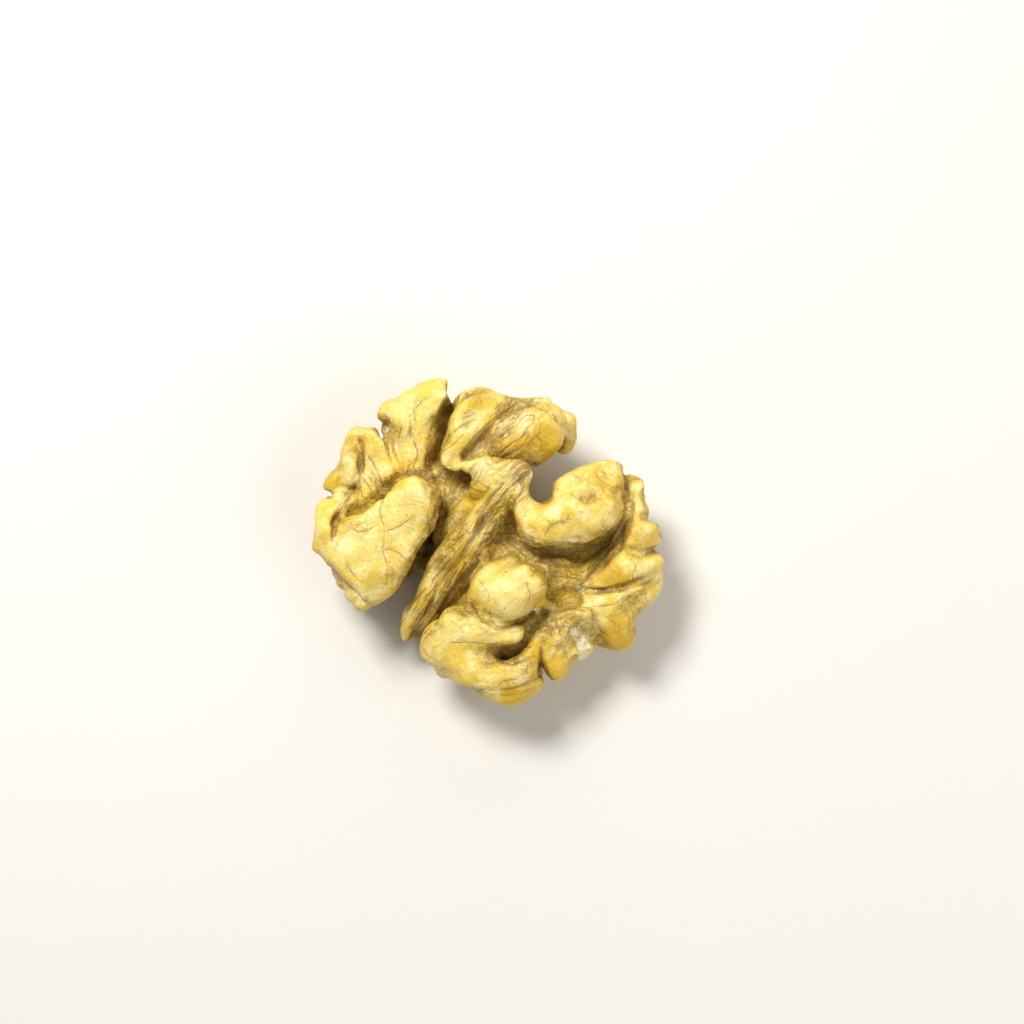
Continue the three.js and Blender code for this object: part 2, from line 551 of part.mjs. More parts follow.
// Each value moved half way to the mean of its six neighbours, so that nothing thinner than a cell is left
function softened({ size, values, index, place }) {
  const out = values.slice()
  for (let k = 1; k + 1 < size[2]; k++) {
    for (let j = 1; j + 1 < size[1]; j++) {
      for (let i = 1; i + 1 < size[0]; i++) {
        const around = neighbours(i, j, k).reduce((sum, spot) => sum + values[index(...spot)], 0)
        out[index(i, j, k)] = (values[index(i, j, k)] + around / 6) / 2
      }
    }
  }
  return { size, values: out, index, place }
}

// A pit or a bump one point wide, which differs from five of its six neighbours, is evened out
function evenOut({ size, values, index }) {
  for (let changed = true; changed;) {
    changed = false
    for (let k = 1; k + 1 < size[2]; k++) {
      for (let j = 1; j + 1 < size[1]; j++) {
        for (let i = 1; i + 1 < size[0]; i++) {
          const inside = values[index(i, j, k)] < 0
          const unlike = neighbours(i, j, k).filter((spot) => values[index(...spot)] < 0 !== inside).length
          if (unlike < 5) continue
          values[index(i, j, k)] = inside ? -JUST_INSIDE : JUST_INSIDE
          changed = true
        }
      }
    }
  }
}

// A space that can't be reached from outside is filled
function fillVoids({ size, values, index }) {
  const reached = new Uint8Array(values.length)
  const waiting = [[0, 0, 0]]
  reached[0] = 1
  while (waiting.length > 0) {
    const here = waiting.pop()
    for (const next of neighbours(...here)) {
      if (next.some((v, c) => v < 0 || v >= size[c])) continue
      const n = index(...next)
      if (reached[n] || values[n] < 0) continue
      reached[n] = 1
      waiting.push(next)
    }
  }
  values.forEach((value, n) => {
    if (value >= 0 && !reached[n]) values[n] = JUST_INSIDE
  })
}

// Where two parts of the surface would meet in one cell, the space between them is filled
function fillPinches({ size, values, index }) {
  for (let changed = true; changed;) {
    changed = false
    for (let k = 0; k + 1 < size[2]; k++) {
      for (let j = 0; j + 1 < size[1]; j++) {
        for (let i = 0; i + 1 < size[0]; i++) {
          const at = CORNERS.map(([a, b, c]) => index(i + a, j + b, k + c))
          const inside = CORNERS.map((_, n) => n).filter((n) => values[at[n]] < 0)
          const outside = CORNERS.map((_, n) => n).filter((n) => values[at[n]] >= 0)
          if (hangTogether(inside) && hangTogether(outside)) continue
          const nearest = outside.reduce((a, b) => (values[at[a]] < values[at[b]] ? a : b))
          values[at[nearest]] = JUST_INSIDE
          changed = true
        }
      }
    }
  }
}

// One point in each cell that the surface passes through, at the mean of its crossings of the cell's edges
function cellPoints({ size, values, index }) {
  const pointOf = new Map()
  const cells = []
  const points = []
  for (let k = 0; k + 1 < size[2]; k++) {
    for (let j = 0; j + 1 < size[1]; j++) {
      for (let i = 0; i + 1 < size[0]; i++) {
        const at = CORNERS.map(([a, b, c]) => values[index(i + a, j + b, k + c)])
        const crossed = EDGES.filter(([n, m]) => at[n] < 0 !== at[m] < 0)
        if (crossed.length === 0) continue
        const mean = [i, j, k]
        for (const [n, m] of crossed) {
          const t = at[n] / (at[n] - at[m])
          const crossing = CORNERS[n].map((v, c) => v + t * (CORNERS[m][c] - v))
          crossing.forEach((v, c) => (mean[c] += v / crossed.length))
        }
        pointOf.set(index(i, j, k), points.length)
        cells.push([i, j, k])
        points.push(mean)
      }
    }
  }
  return { pointOf, cells, points }
}

// The four points round every grid edge that the surface crosses, in order as seen from outside
function surfaceQuads({ size, values, index }, pointOf) {
  const quads = []
  for (let k = 1; k + 1 < size[2]; k++) {
    for (let j = 1; j + 1 < size[1]; j++) {
      for (let i = 1; i + 1 < size[0]; i++) {
        const here = values[index(i, j, k)] < 0
        for (let c = 0; c < 3; c++) {
          const [step, u, v] = [0, 1, 2].map((turn) => [0, 1, 2].map((n) => (n === (c + turn) % 3 ? 1 : 0)))
          if (values[index(i + step[0], j + step[1], k + step[2])] < 0 === here) continue
          const ring = [[0, 0], [1, 0], [1, 1], [0, 1]].map(([a, b]) =>
            pointOf.get(index(i - a * u[0] - b * v[0], j - a * u[1] - b * v[1], k - a * u[2] - b * v[2])))
          quads.push(here ? ring : ring.reverse())
        }
      }
    }
  }
  return quads
}

// Moves each point half way to the mean of its neighbours, but never out of its own cell
function relaxed(points, cells, quads) {
  const around = points.map(() => new Set())
  for (const ring of quads) {
    ring.forEach((n, corner) => around[n].add(ring[(corner + 1) % 4]).add(ring[(corner + 3) % 4]))
  }
  return points.map((point, n) => point.map((v, c) => {
    const mean = [...around[n]].reduce((sum, m) => sum + points[m][c], 0) / around[n].size
    return Math.min(cells[n][c] + 1, Math.max(cells[n][c], (v + mean) / 2))
  }))
}

function surfaceMesh(grid) {
  const { pointOf, cells, points } = cellPoints(grid)
  const quads = surfaceQuads(grid, pointOf)
  let settled = points
  for (let pass = 0; pass < RELAX_PASSES; pass++) settled = relaxed(settled, cells, quads)
  const geometry = new THREE.BufferGeometry()
  const places = settled.flatMap((point) => grid.place(...point))
  geometry.setAttribute('position', new THREE.Float32BufferAttribute(places, 3))
  geometry.setIndex(quads.flatMap(([a, b, c, d]) => [a, b, c, a, c, d]))
  return geometry
}

function solidFrom(geometry) {
  const bare = geometry.clone()
  bare.deleteAttribute('normal')
  bare.deleteAttribute('uv')
  const merged = mergeVertices(bare)
  return new wasm.Manifold(new wasm.Mesh({
    numProp: 3,
    vertProperties: merged.attributes.position.array,
    triVerts: new Uint32Array(merged.index.array),
  }))
}

function geometryFrom(solid) {
  const { vertProperties, triVerts } = solid.getMesh()
  const geometry = new THREE.BufferGeometry()
  geometry.setAttribute('position', new THREE.BufferAttribute(vertProperties, 3))
  geometry.setIndex(new THREE.BufferAttribute(triVerts, 1))
  return geometry
}

// Turns the face frame to the way the kernel lies, and presses its lowest folds flat on the ground
function laidToRest(geometry) {
  const turn = new THREE.Matrix4()
    .makeRotationX(THREE.MathUtils.degToRad(REST_PITCH))
    .multiply(new THREE.Matrix4().makeRotationY(THREE.MathUtils.degToRad(REST_ROLL)))
  geometry.applyMatrix4(turn)
  geometry.computeBoundingBox()
  const box = geometry.boundingBox
  const ground = box.min.z + FLAT_DEPTH
  geometry.translate(-(box.min.x + box.max.x) / 2, -(box.min.y + box.max.y) / 2, -ground)
  const below = new THREE.BoxGeometry(2 * KERNEL_WIDTH, 2 * KERNEL_WIDTH, KERNEL_WIDTH)
  below.translate(0, 0, -KERNEL_WIDTH / 2)
  return geometryFrom(solidFrom(geometry).subtract(solidFrom(below)))
}

const grid = softened(distanceGrid())
evenOut(grid)
fillPinches(grid)
evenOut(grid)
fillVoids(grid)
const geometry = laidToRest(surfaceMesh(grid))
geometry.computeVertexNormals()
const skin = new THREE.MeshStandardMaterial({ color: '#d9b45a', roughness: 0.55, metalness: 0 })
const kernel = new THREE.Mesh(geometry, skin)
kernel.name = 'kernel'

const group = new THREE.Group()
group.add(kernel)

export default group
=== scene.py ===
import math

import bpy
import numpy as np
from mathutils import Matrix, Vector


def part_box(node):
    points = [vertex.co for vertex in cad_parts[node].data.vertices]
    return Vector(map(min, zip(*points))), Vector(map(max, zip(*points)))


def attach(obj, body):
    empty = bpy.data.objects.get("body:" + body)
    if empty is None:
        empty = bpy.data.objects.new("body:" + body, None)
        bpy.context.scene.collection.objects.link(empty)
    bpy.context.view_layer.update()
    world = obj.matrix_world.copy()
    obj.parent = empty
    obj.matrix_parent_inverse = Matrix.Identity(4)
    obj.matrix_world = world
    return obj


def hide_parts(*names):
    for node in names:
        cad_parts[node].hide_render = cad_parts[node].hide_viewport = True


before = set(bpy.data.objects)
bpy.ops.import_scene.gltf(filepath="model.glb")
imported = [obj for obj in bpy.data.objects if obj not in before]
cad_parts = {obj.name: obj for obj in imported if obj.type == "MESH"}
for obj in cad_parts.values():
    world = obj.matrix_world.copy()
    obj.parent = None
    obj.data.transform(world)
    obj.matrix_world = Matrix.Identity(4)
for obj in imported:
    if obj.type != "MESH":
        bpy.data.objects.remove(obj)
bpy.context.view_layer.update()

MM = 0.001

# Driving dimensions, in mm and degrees
FACE_BOX = {"low": [-17.6, -16.4, -10.4], "high": [17.6, 16.8, 6.8]}
CELL = 0.84  # spacing of the rough grid, which finds where the surface is
CELL_PARTS = 4  # the fine grid has this many steps to a cell
NEAR_SURFACE = 1.05  # a cell can hold the surface only if a corner is as near as this
RELAX_PASSES = 2  # how often the surface's points are evened out
REST_PITCH = 5  # the inner face leans towards the front by this
FOLD_WANDER = 0.7  # how far a back fold strays to either side
WANDER_LENGTH = 9  # over this length of it
FOLD_SWELL = 0.11  # how much of its radius a back fold swells and narrows
SWELL_LENGTH = 5.2  # from one knob of it to the next
FOLD_SAG = 0.07  # how far its middle bulges out, as a share of its length
FOLD_TAPER = 0.22  # how much thinner it is at the rim
FOLD_STRETCHES = 12  # straight stretches that a back fold's middle line has
SECOND_DRAW = 0.37  # added to a fold's number where it needs another draw
CREASE_DEPTH = 1.1  # of the creases between back folds
CREASE_WIDTH = 1.5  # across, near the surface
FRONT_LEVEL = -3.2  # the creases of the inner face fade out below this height
FRONT_FADE = 0.35  # within about this much
CROWN_REACH = 3  # a plate rises to its full crown this far in from its outline
LINE_STEPS = 5  # stretches from one given point of a cleft, vein or wrinkle run to the next
LINE_REACH = 1.6  # a crease or a vein shows no farther than this from its line

# How softly neighbouring forms run into each other
BLEND = {
    "body": 0.7, "back_fold": 0.2, "back_to_body": 0.25, "front": 0.2, "front_to_body": 0.25, "hollow": 0.35,
    "cleft": 0.4,
}
FAR = 20.0  # the distance given to what is out of reach
REACH = 3.5  # a form farther away than this has no part in a blend

# Noises of the finer skin: their height and the width of a lump, in mm, and which draw each is
NOISES = {
    "broad": [0.09, 1.9, 1], "small": [0.04, 0.85, 2], "furrow": [0.12, 0.55, 3], "rough": [0.22, 0.6, 4],
    "flesh": [0.1, 0.45, 5], "wander": [1, 2.1, 6], "waver": [0.35, 0.9, 7], "patch": [1, 3.1, 8],
}
FURROW_STRETCH = 0.35  # furrows are drawn out: their place along the run counts only this much
FLESH_SUNK = 0.08  # how far a chipped spot lies below the skin
MEANDER_DEPTH = 0.05  # of the thin creases that wander all over the skin
MEANDER_WIDTH = 0.05  # as a share of the noise that they follow
MEANDER_PATCH = [-0.25, 0.3]  # they come in where the patch noise is between these
BACK_CREASE_DEPTH = 0.12  # how much deeper the finer skin makes the creases of the back
BACK_CREASE_WIDTH = 0.5
# painted shade: how dark the creases between the back folds are tinted
BACK_CREASE_SHADE = 0.8

# Where a point belongs to the inner face: how far its normal leans up, and its height in mm
FACE_LEAN = [-0.1, 0.2]
FACE_HEIGHT = [-6, -4]
LEVEL_LEAN = [0.3, 0.85]  # from a lobe's flank to its level top
HOLLOW_REACHES = [0.7, 1.5]  # how far above the skin a hollow is felt
HOLLOW_MOST = 1.5  # the most that a hollow counts for at one reach
HOLLOW_WRINKLES = 0.5  # how strongly hollows are wrinkled

# The shape is laid out in a face frame, in mm: x to the right, y up and z out of the inner face.
# Every fold below is a list of [x, y, z, radius] along its middle line.
# Every plate has an outline of [x, y] points, a level, a slope [across, up], an edge radius and a crown.

PAD = {
    "blend": 0.45,
    "folds": [[[-15, 3, -0.9, 1.05], [-14.2, 3.3, -0.7, 1.1], [-13.6, 2.4, -0.4, 1]]],
    "plates": [{
        "outline": [
            [-16.1, 1.2], [-15.8, -0.9], [-14.7, -2.9], [-13, -4.7], [-12, -5.8], [-11.3, -5.9],
            [-10, -5.1], [-8.7, -4.3], [-7.5, -2.4], [-6.1, -0.3], [-4.7, 2], [-4.5, 3.6], [-5.4, 5.1],
            [-7.1, 5.9], [-8.9, 5.2], [-10.4, 3.8], [-12.4, 2.4], [-14.2, 2.6], [-15.6, 2.6],
        ],
        "level": 0.5, "slope": [0.1, 0.1], "edge": 1.45, "crown": 0.75,
    }],
}

UPPER_LEFT_FRINGE = {
    "blend": 0.3,
    "folds": [
        [[-14, 5.3, -1.9, 1.15], [-12.8, 6.3, -1.3, 1.5], [-11.8, 5.6, -1.2, 1.4], [-10.6, 4.2, -1.4, 1.1]],
        [[-11.9, 9.7, -1.7, 1.2], [-11.1, 8.6, -1.1, 1.4], [-10.2, 6.8, -0.9, 1.4], [-9.4, 5.2, -1.2, 1.2]],
        [[-12.7, 8.4, -2, 1.1], [-12.6, 7, -1.6, 1.3]],
        [[-13.6, 4, -1.4, 1.2], [-11.8, 3.6, -1, 1.2], [-10.4, 4.4, -1, 1]],
        [[-10.1, 9.7, -1.5, 1.2], [-9, 8.6, -0.9, 1.3], [-8.2, 7.2, -0.7, 1.3], [-7.4, 6, -0.9, 1.1]],
        [[-8.8, 12.1, -1.8, 1.3], [-8, 10.8, -1, 1.5], [-7.4, 9, -0.7, 1.3], [-6.6, 7.4, -0.8, 1.1]],
        [[-5.3, 14, -1.5, 1.3], [-5.8, 12, -0.8, 1.9], [-5.6, 10.2, -0.6, 1.6], [-5.6, 8.4, -0.8, 1.2],
         [-5.4, 6.8, -1.2, 1.1]],
        [[-7.2, 13.2, -1.7, 1.1], [-7.1, 11.8, -1.2, 1.2]],
    ],
}

HOOD = {
    "blend": 0.55,
    "folds": [
        [[-4, 7.6, 0.7, 0.9], [-3.7, 8.8, 0.9, 1.2], [-2.7, 10.6, 0.8, 1.5], [-1.2, 12, 0.2, 1.6],
         [0.8, 12.6, -0.6, 1.5], [3, 12.3, -0.9, 1.3], [4.3, 12.5, -1, 1]],
        [[4.6, 12, -0.3, 1], [5.4, 10.9, 0, 1.3], [5.1, 9.6, 0, 1.3], [4.2, 8.6, -0.4, 1.1]],
    ],
    "plates": [{
        "outline": [
            [-3.2, 7.2], [-3.2, 9.2], [-1.8, 11.4], [0.4, 12.4], [3, 12.2], [5, 11], [5.2, 9.4], [4, 8.2],
            [1.4, 7.2], [-1, 6.8],
        ],
        "level": -0.2, "slope": [-0.06, -0.04], "edge": 1.3, "crown": 0,
    }],
}

HOOD_RIM = {
    "blend": 0.3,
    "folds": [
        [[4.4, 12.8, -1.4, 0.75], [5.6, 11.8, -1.4, 0.7], [6.8, 10.9, -1.4, 0.85], [7, 9.9, -1.8, 0.75],
         [6.6, 9, -2.2, 0.75]],
        [[-3.2, 12.4, -1.8, 1.1], [-1.6, 13.2, -1.8, 1], [1.2, 13, -1.8, 1]],
    ],
}

# The crest runs between the two lobes and turns over into the arm, which curls round to the right.
CREST_AND_ARM = {
    "blend": 0.42,
    "folds": [
        [[-7.7, -8.2, -2.9, 0.5], [-6.8, -6.2, -2, 0.6], [-5.6, -3.6, -0.7, 0.75], [-3.9, -0.8, 0.5, 0.8],
         [-2, 1.6, 1.4, 0.7], [-0.2, 3.5, 2.1, 0.6], [1.4, 5, 2.7, 0.6], [3.2, 6.5, 3.2, 0.5]],
        [[-6.7, -7.5, -3, 0.8], [-4.9, -5.3, -2.1, 1.2], [-3.2, -2.8, -0.9, 1.5], [-1.4, -0.4, 0, 1.45],
         [0.2, 2, 0.7, 1.15], [1.4, 3.8, 1.4, 1]],
        [[-4.2, 1, -1, 0.9], [-2.8, 2.6, -0.3, 0.9], [-1.2, 4.2, 0.6, 0.9], [0.2, 5.6, 1.4, 1]],
        [[3, 6.2, 2.2, 0.8], [2.5, 4.9, 2, 1], [2.6, 3.5, 2.1, 1.2], [3.6, 2.2, 2.3, 1.6],
         [5.4, 1.7, 2.5, 1.8], [7.8, 2.2, 2, 2.15], [10, 3.3, 1.1, 2.2], [11.2, 4.8, 0.1, 1.8]],
        [[7.2, 4.6, 1.1, 1.8], [9.4, 5.6, 0.7, 1.6], [11, 6.3, -0.2, 1.3]],
    ],
    "plates": [{
        "outline": [
            [-3.9, 6.9], [-3, 7.6], [-0.8, 7.9], [1.6, 7.6], [3.6, 7.6], [3.8, 6.6], [2.4, 5.5], [0.8, 4.6],
            [-0.4, 5], [-1.4, 5.9], [-2.6, 6.4],
        ],
        "level": 2.3, "slope": [0.24, 0], "edge": 0.75, "crown": 0,
    }],
}

RIGHT_EDGE = {
    "blend": 0.3,
    "folds": [
        [[12.2, 6.3, -1.2, 1], [13.1, 4.8, -0.8, 1.2], [13.4, 3, -0.5, 1.4], [13.2, 1.4, -0.3, 1.4]],
        [[14.7, 0.8, -1.2, 1.2], [13.6, 0.9, -0.4, 1.4], [12.2, 0.2, -0.1, 1]],
    ],
}

RIGHT_LOBE = {
    "blend": 0.4,
    "folds": [
        [[14.4, -1.8, -1.3, 1.65], [13.2, -1.9, -0.4, 1.75], [11.6, -2.4, -0.2, 1.5], [9.8, -3.3, -0.3, 1]],
    ],
}

LOWER_RIGHT_LOBE = {
    "blend": 0.45,
    "folds": [
        [[12.1, -8.6, -2, 1.3], [12, -7.2, -1.2, 1.8], [11.4, -6.2, -0.8, 1.7], [10.4, -5.9, -0.7, 1.2]],
        [[14.2, -4, -1.4, 1.2], [12.7, -4.8, -0.7, 1.3], [10.8, -5.2, -0.4, 1.2], [9.2, -5.6, -0.3, 0.9]],
        [[14.2, -3.1, -1.9, 1.2], [12.8, -3.4, -1.3, 1.3], [11.2, -3.8, -1.1, 1.2]],
    ],
}

KNOB = {"blend": 0.3, "folds": [[[1, -4.3, 0.7, 3], [1.9, -4.1, 0.8, 3.05]]]}

LOWER_LEFT_LOBE = {
    "blend": 0.4,
    "folds": [
        [[-4, -8.2, -0.1, 1.75], [-2.6, -7.3, 0.6, 1.9], [-0.4, -7.8, 1.1, 1.6], [1.6, -8, 1.1, 1.2]],
        [[-4.3, -10, -0.8, 1.5], [-2.9, -10.9, -0.3, 1.7], [-0.9, -11.7, 0, 1.6], [1.4, -12, 0.2, 1.4],
         [3, -11.3, 0.4, 1.3], [3.9, -10, 0.2, 0.9], [4.4, -8.8, -0.2, 0.8]],
        [[-4.2, -8.9, -0.3, 1.7], [-2.4, -9.2, 0.1, 1.6], [-0.9, -9.6, 0, 1.3]],
    ],
}

LOWEST_LOBE = {
    "blend": 0.35,
    "folds": [
        [[-1.4, -12.1, -1, 1.1], [0.6, -13, -0.9, 1.3], [2.2, -13.2, -0.7, 1.6], [3.3, -12.6, -0.6, 1.4]],
    ],
}

BROKEN_LOBE = {
    "blend": 0.35,
    "folds": [
        [[5.2, -8.4, -0.3, 1.1], [5.9, -9.7, -0.5, 1.5], [6, -11, -0.9, 1.4]],
        [[7.3, -8, -0.3, 1.1], [7.9, -9.2, -0.8, 1.2], [8.6, -9.4, -1.2, 1]],
    ],
}

# Low ridges in the shallow field between the arm, the knob and the right lobes
FIELD_RIDGES = {
    "blend": 0.3,
    "folds": [
        [[5.2, -5.6, -0.3, 0.7], [6.6, -6.4, -0.3, 0.8], [8.4, -6.4, -0.4, 0.9]],
        [[5, -3.4, -0.2, 0.6], [6.6, -3, 0, 0.65], [8.2, -3.2, 0.1, 0.7]],
        [[11.8, 0.6, -0.3, 0.6], [10.4, -1.4, -0.2, 0.6], [8.8, -3, 0, 0.6]],
        [[3.6, -1, -0.3, 0.5], [5.4, -1.6, -0.1, 0.5], [7.4, -1.9, -0.1, 0.5]],
    ],
}

FRONT_FORMS = [
    PAD, UPPER_LEFT_FRINGE, HOOD, HOOD_RIM, CREST_AND_ARM, RIGHT_EDGE, RIGHT_LOBE, LOWER_RIGHT_LOBE, KNOB,
    LOWER_LEFT_LOBE, LOWEST_LOBE, BROKEN_LOBE, FIELD_RIDGES,
]

# The flesh under the "folds": the bridge between the lobes, then the floor of each lobe
BODY = {
    "blend": BLEND["body"],
    "folds": [
        [[-6.8, -7, -4, 0.8], [-4.6, -3, -3, 1.5], [-2, 0.4, -2, 1.9], [0.8, 3, -1, 1.9],
         [2, 5.2, -0.2, 1.3]],
        [[-12.2, 3.4, -3.3, 2], [-9.5, 3.4, -3.4, 2.4], [-7, 5.6, -3.4, 2.6], [-4, 7.5, -3, 2.6],
         [-0.5, 9.2, -3, 2.6], [3, 9.8, -3.4, 2]],
        [[-4.4, 3.4, -2.6, 1.8], [-2.2, 5.6, -2, 1.8]],
        [[-12.6, -1.6, -2.6, 2.2], [-10.6, -2, -2.8, 2.2], [-9.6, 0.2, -3, 2.4]],
        [[2.4, -1, -2.5, 2.5], [6, -2.2, -2.4, 2.6], [9.5, -1.8, -2.5, 2.6], [11.2, 2, -2.9, 2.4],
         [8.4, 4, -2.6, 2.2]],
        [[5.4, 1.4, 0.4, 1.4], [8.2, 2, 0.2, 1.6], [10.2, 3.4, -0.4, 1.6]],
        [[-1.8, -6.8, -2.4, 2.5], [2, -8.2, -2.5, 2.6], [6, -6.6, -2.6, 2.6], [9.5, -5.2, -2.9, 2.5]],
        [[5, -4.4, -2.2, 2], [8, -4.6, -2.2, 2], [9.6, -6.6, -2.8, 2]],
        [[-1.5, -2.2, -3, 2], [3, -4, -2.6, 2.6]],
    ],
    "plates": [
        {
            "outline": [
                [-6, 13.7], [-5, 13.8], [-4.2, 12.4], [-2, 13.1], [1.2, 12.9], [4.2, 12.5], [5.2, 11.4],
                [6.5, 10.5], [6.2, 9.6], [5, 8.8], [2.4, 7.2], [-1, 5], [-4.5, 3], [-6.2, 0.4],
                [-7.8, -2.2], [-8.8, -3.6], [-10.2, -4.2], [-11.6, -4.6], [-13.5, -2.6], [-14.9, -0.4],
                [-15, 1.8], [-14.2, 3.4], [-13.4, 4.6], [-13.7, 5.6], [-13, 7], [-11.8, 8.6], [-11.6, 9.6],
                [-10.4, 9.6], [-9.2, 10.7], [-7.9, 11.8], [-6.9, 12.5],
            ],
            "level": -3, "slope": [0, 0], "edge": 1.15, "crown": 0,
        },
        {
            "outline": [
                [3.4, 2.9], [5.4, 3.2], [6.8, 5], [8, 5.8], [9.5, 6.2], [11, 6.4], [12.3, 5.8], [13, 4.8],
                [13.8, 3.2], [14, 1.8], [14.8, 0.6], [14.6, -0.6], [14.9, -1.8], [14.5, -3], [13.2, -4],
                [12.8, -5.4], [12.3, -7.4], [11.8, -8.6], [10.4, -7.8], [9.2, -8.2], [7.4, -9.8],
                [6.6, -10.7], [4.6, -11.4], [3.5, -12], [3.3, -13], [2, -13.6], [0.2, -12.8], [-2, -11.7],
                [-4, -10.5], [-5.4, -9.4], [-5.4, -7.6], [-4, -5], [-2, -2], [0, 0.5],
            ],
            "level": -3, "slope": [0, 0], "edge": 1.15, "crown": 0,
        },
    ],
}

# The folds of the rounded back. Long ones start beside the middle furrow and short ones part way out,
# and each ends in a knob on the rim.
BACK_FOLDS = [
    [[-7, -1.6, -5.2], [-12.8, -3, -2.4], 1.8],
    [[-5.6, 0.9, -6.2], [-14.3, 2.6, -2.8], 2],
    [[-3.4, 3.6, -6.6], [-11.4, 8.8, -3], 2],
    [[-0.9, 5.8, -6.6], [-4.8, 13, -3], 2],
    [[1.6, 7.4, -5.8], [3.4, 12, -2.9], 1.9],
    [[-10.4, -0.6, -5.2], [-14.2, -0.6, -2.6], 1.6],
    [[-9.4, 3.6, -6], [-13.2, 5.4, -3], 1.7],
    [[-6.4, 7.2, -6.2], [-8.2, 11.3, -3], 1.7],
    [[-1.4, 9.2, -5.8], [-0.6, 12.8, -3], 1.6],
    [[4, 8.9, -5], [6.2, 10.4, -2.8], 1.4],
    [[4.6, 1.8, -5.2], [11, 5.4, -2.8], 1.9],
    [[3.6, -0.8, -6], [13.9, 0.6, -3], 2],
    [[1.6, -3, -5.6], [12.8, -4.6, -3], 2],
    [[-0.6, -4.9, -5.1], [7.6, -9.6, -2.9], 2],
    [[-3, -6.3, -4.5], [-0.6, -11.9, -2.6], 1.9],
    [[9.2, 2.2, -5.4], [13, 3.6, -2.9], 1.6],
    [[9.8, -2, -5.5], [13.9, -2.2, -3], 1.7],
    [[7.6, -5.4, -4.8], [11.2, -8, -2.8], 1.7],
    [[3.2, -8.6, -4.5], [3.4, -12.3, -2.6], 1.7],
    [[-4.4, -7.4, -4], [-4.4, -9.8, -2.4], 1.4],
]

# Hollows carved in the inner face
HOLLOWS = [
    [[-6, 4.8, 0.4, 0.9], [-5, 3, -0.2, 0.8], [-5.4, 1.4, -0.6, 0.9], [-6.6, -0.8, -1.4, 0.9],
     [-7.4, -3, -2.4, 0.9]],
    [[-3.6, 5.6, 0.5, 0.8], [-2.4, 5, 0.7, 1], [-1, 4.9, 1.2, 0.6]],
    [[-0.3, 8.9, 2.1, 1.7], [1.6, 9.6, 1.6, 1.7], [2.5, 9, 1.2, 1.5], [3.1, 8.4, 0.8, 1.1]],
    [[2.6, 0.2, 0.6, 0.8], [5, -0.8, 0.2, 0.7], [8, -0.6, 0, 0.8], [10.4, 0, -0.2, 0.7]],
    [[0.9, -9.8, 1.1, 0.7], [1.8, -10, 0.9, 0.9], [2.7, -9.6, 1, 0.7]],
    [[3.4, -8.6, 0.2, 0.6], [4.2, -7.2, 0.2, 0.6], [5, -6.2, 0.3, 0.4]],
    [[-0.2, -0.6, 1.2, 0.8], [-2.2, -3.6, 0, 0.9], [-4, -6, -1.3, 0.8], [-5.9, -8.6, -2.2, 0.8]],
    [[6, -4.8, 0.4, 0.7], [7.4, -5, 0.4, 0.7]],
]

# The two clefts between the lobes go right through the kernel: [x, y, half width] along each
CLEFTS = [
    [[-10.5, -10, 2.2], [-8.6, -7, 1.1], [-7.5, -4.6, 0.75], [-7, -3.2, 0.45]],
    [[9, 10, 1.5], [6.2, 7.6, 0.95], [4.8, 5.8, 0.8], [4.3, 4.7, 0.65]],
]

# Creases pressed into the inner face between neighbouring lobes: depth, width and [x, y] points
GROOVES = [
    [0.4, 0.45, [[-2.1, 7.7], [-1, 9.3], [0.2, 10.7], [1.7, 12.2], [3.5, 12.9], [5.2, 12.6]]],
    [0.75, 0.5, [[-4, 13.8], [-3.8, 11.2], [-4.3, 9.1], [-5.3, 7.2]]],
    [0.3, 0.5, [[-6.9, 12.6], [-7.4, 9.8], [-6.9, 7.4]]],
    [0.55, 0.45, [[-9.8, 10.5], [-8.6, 8.4], [-8.1, 6.3]]],
    [0.45, 0.45, [[-11.7, 9.3], [-11.9, 6.7], [-12.8, 4.6]]],
    [0.4, 0.45, [[-11, 8.1], [-10.4, 6], [-9.1, 4.9]]],
    [0.3, 0.4, [[-13.8, 7], [-13.5, 5.3]]],
    [0.4, 0.4, [[-14.8, 4.4], [-13.6, 3], [-14.2, 0.8]]],
    [0.45, 0.45, [[12.4, 7.4], [12.6, 5], [12.9, 2.6], [11.4, -0.2], [9.3, -2.7], [8, -4]]],
    [0.3, 0.4, [[8.7, -4], [11.4, -3.9], [13.8, -3], [15.7, -2.3]]],
    [0.25, 0.4, [[15.7, -0.2], [13.8, -0.6], [12.1, -0.9]]],
    [0.2, 0.4, [[15.4, 2.4], [13.9, 2.4]]],
    [0.35, 0.5, [[2.6, 6], [1.7, 3.9], [1.5, 1.9]]],
    [0.35, 0.45, [[-1.7, -6.1], [-0.3, -7.1], [1.7, -7.1], [3.8, -6.1]]],
    [0.25, 0.4, [[4.7, -9.4], [4.9, -12.3]]],
    [0.35, 0.45, [[7.6, -7.8], [8.1, -9.9]]],
    [0.3, 0.45, [[4.8, -6.1], [6.9, -5.8], [8.7, -6.4]]],
    [0.25, 0.45, [[-14.7, -2.2], [-12.9, -3.9], [-10.8, -5]]],
    [0.35, 0.4, [[7.2, 5.7], [9.2, 6], [10.8, 5.5], [12.2, 4.8]]],
    [0.25, 0.45, [[7.8, 4.6], [8.8, 4.1], [9.8, 4.4]]],
    [0.3, 0.4, [[10.4, 6.7], [11.4, 4.9]]],
    [0.2, 0.4, [[1, 4.6], [-0.6, 1.9], [-2.6, -1], [-4.5, -3.8], [-6.3, -6.6]]],
    [0.3, 0.4, [[0.5, 0.9], [-1.4, -1.6], [-3.2, -4.2], [-4.9, -6.7]]],
    [0.25, 0.7, [[-9.6, 4.4], [-9.5, 1.4], [-9.2, -2.6]]],
]

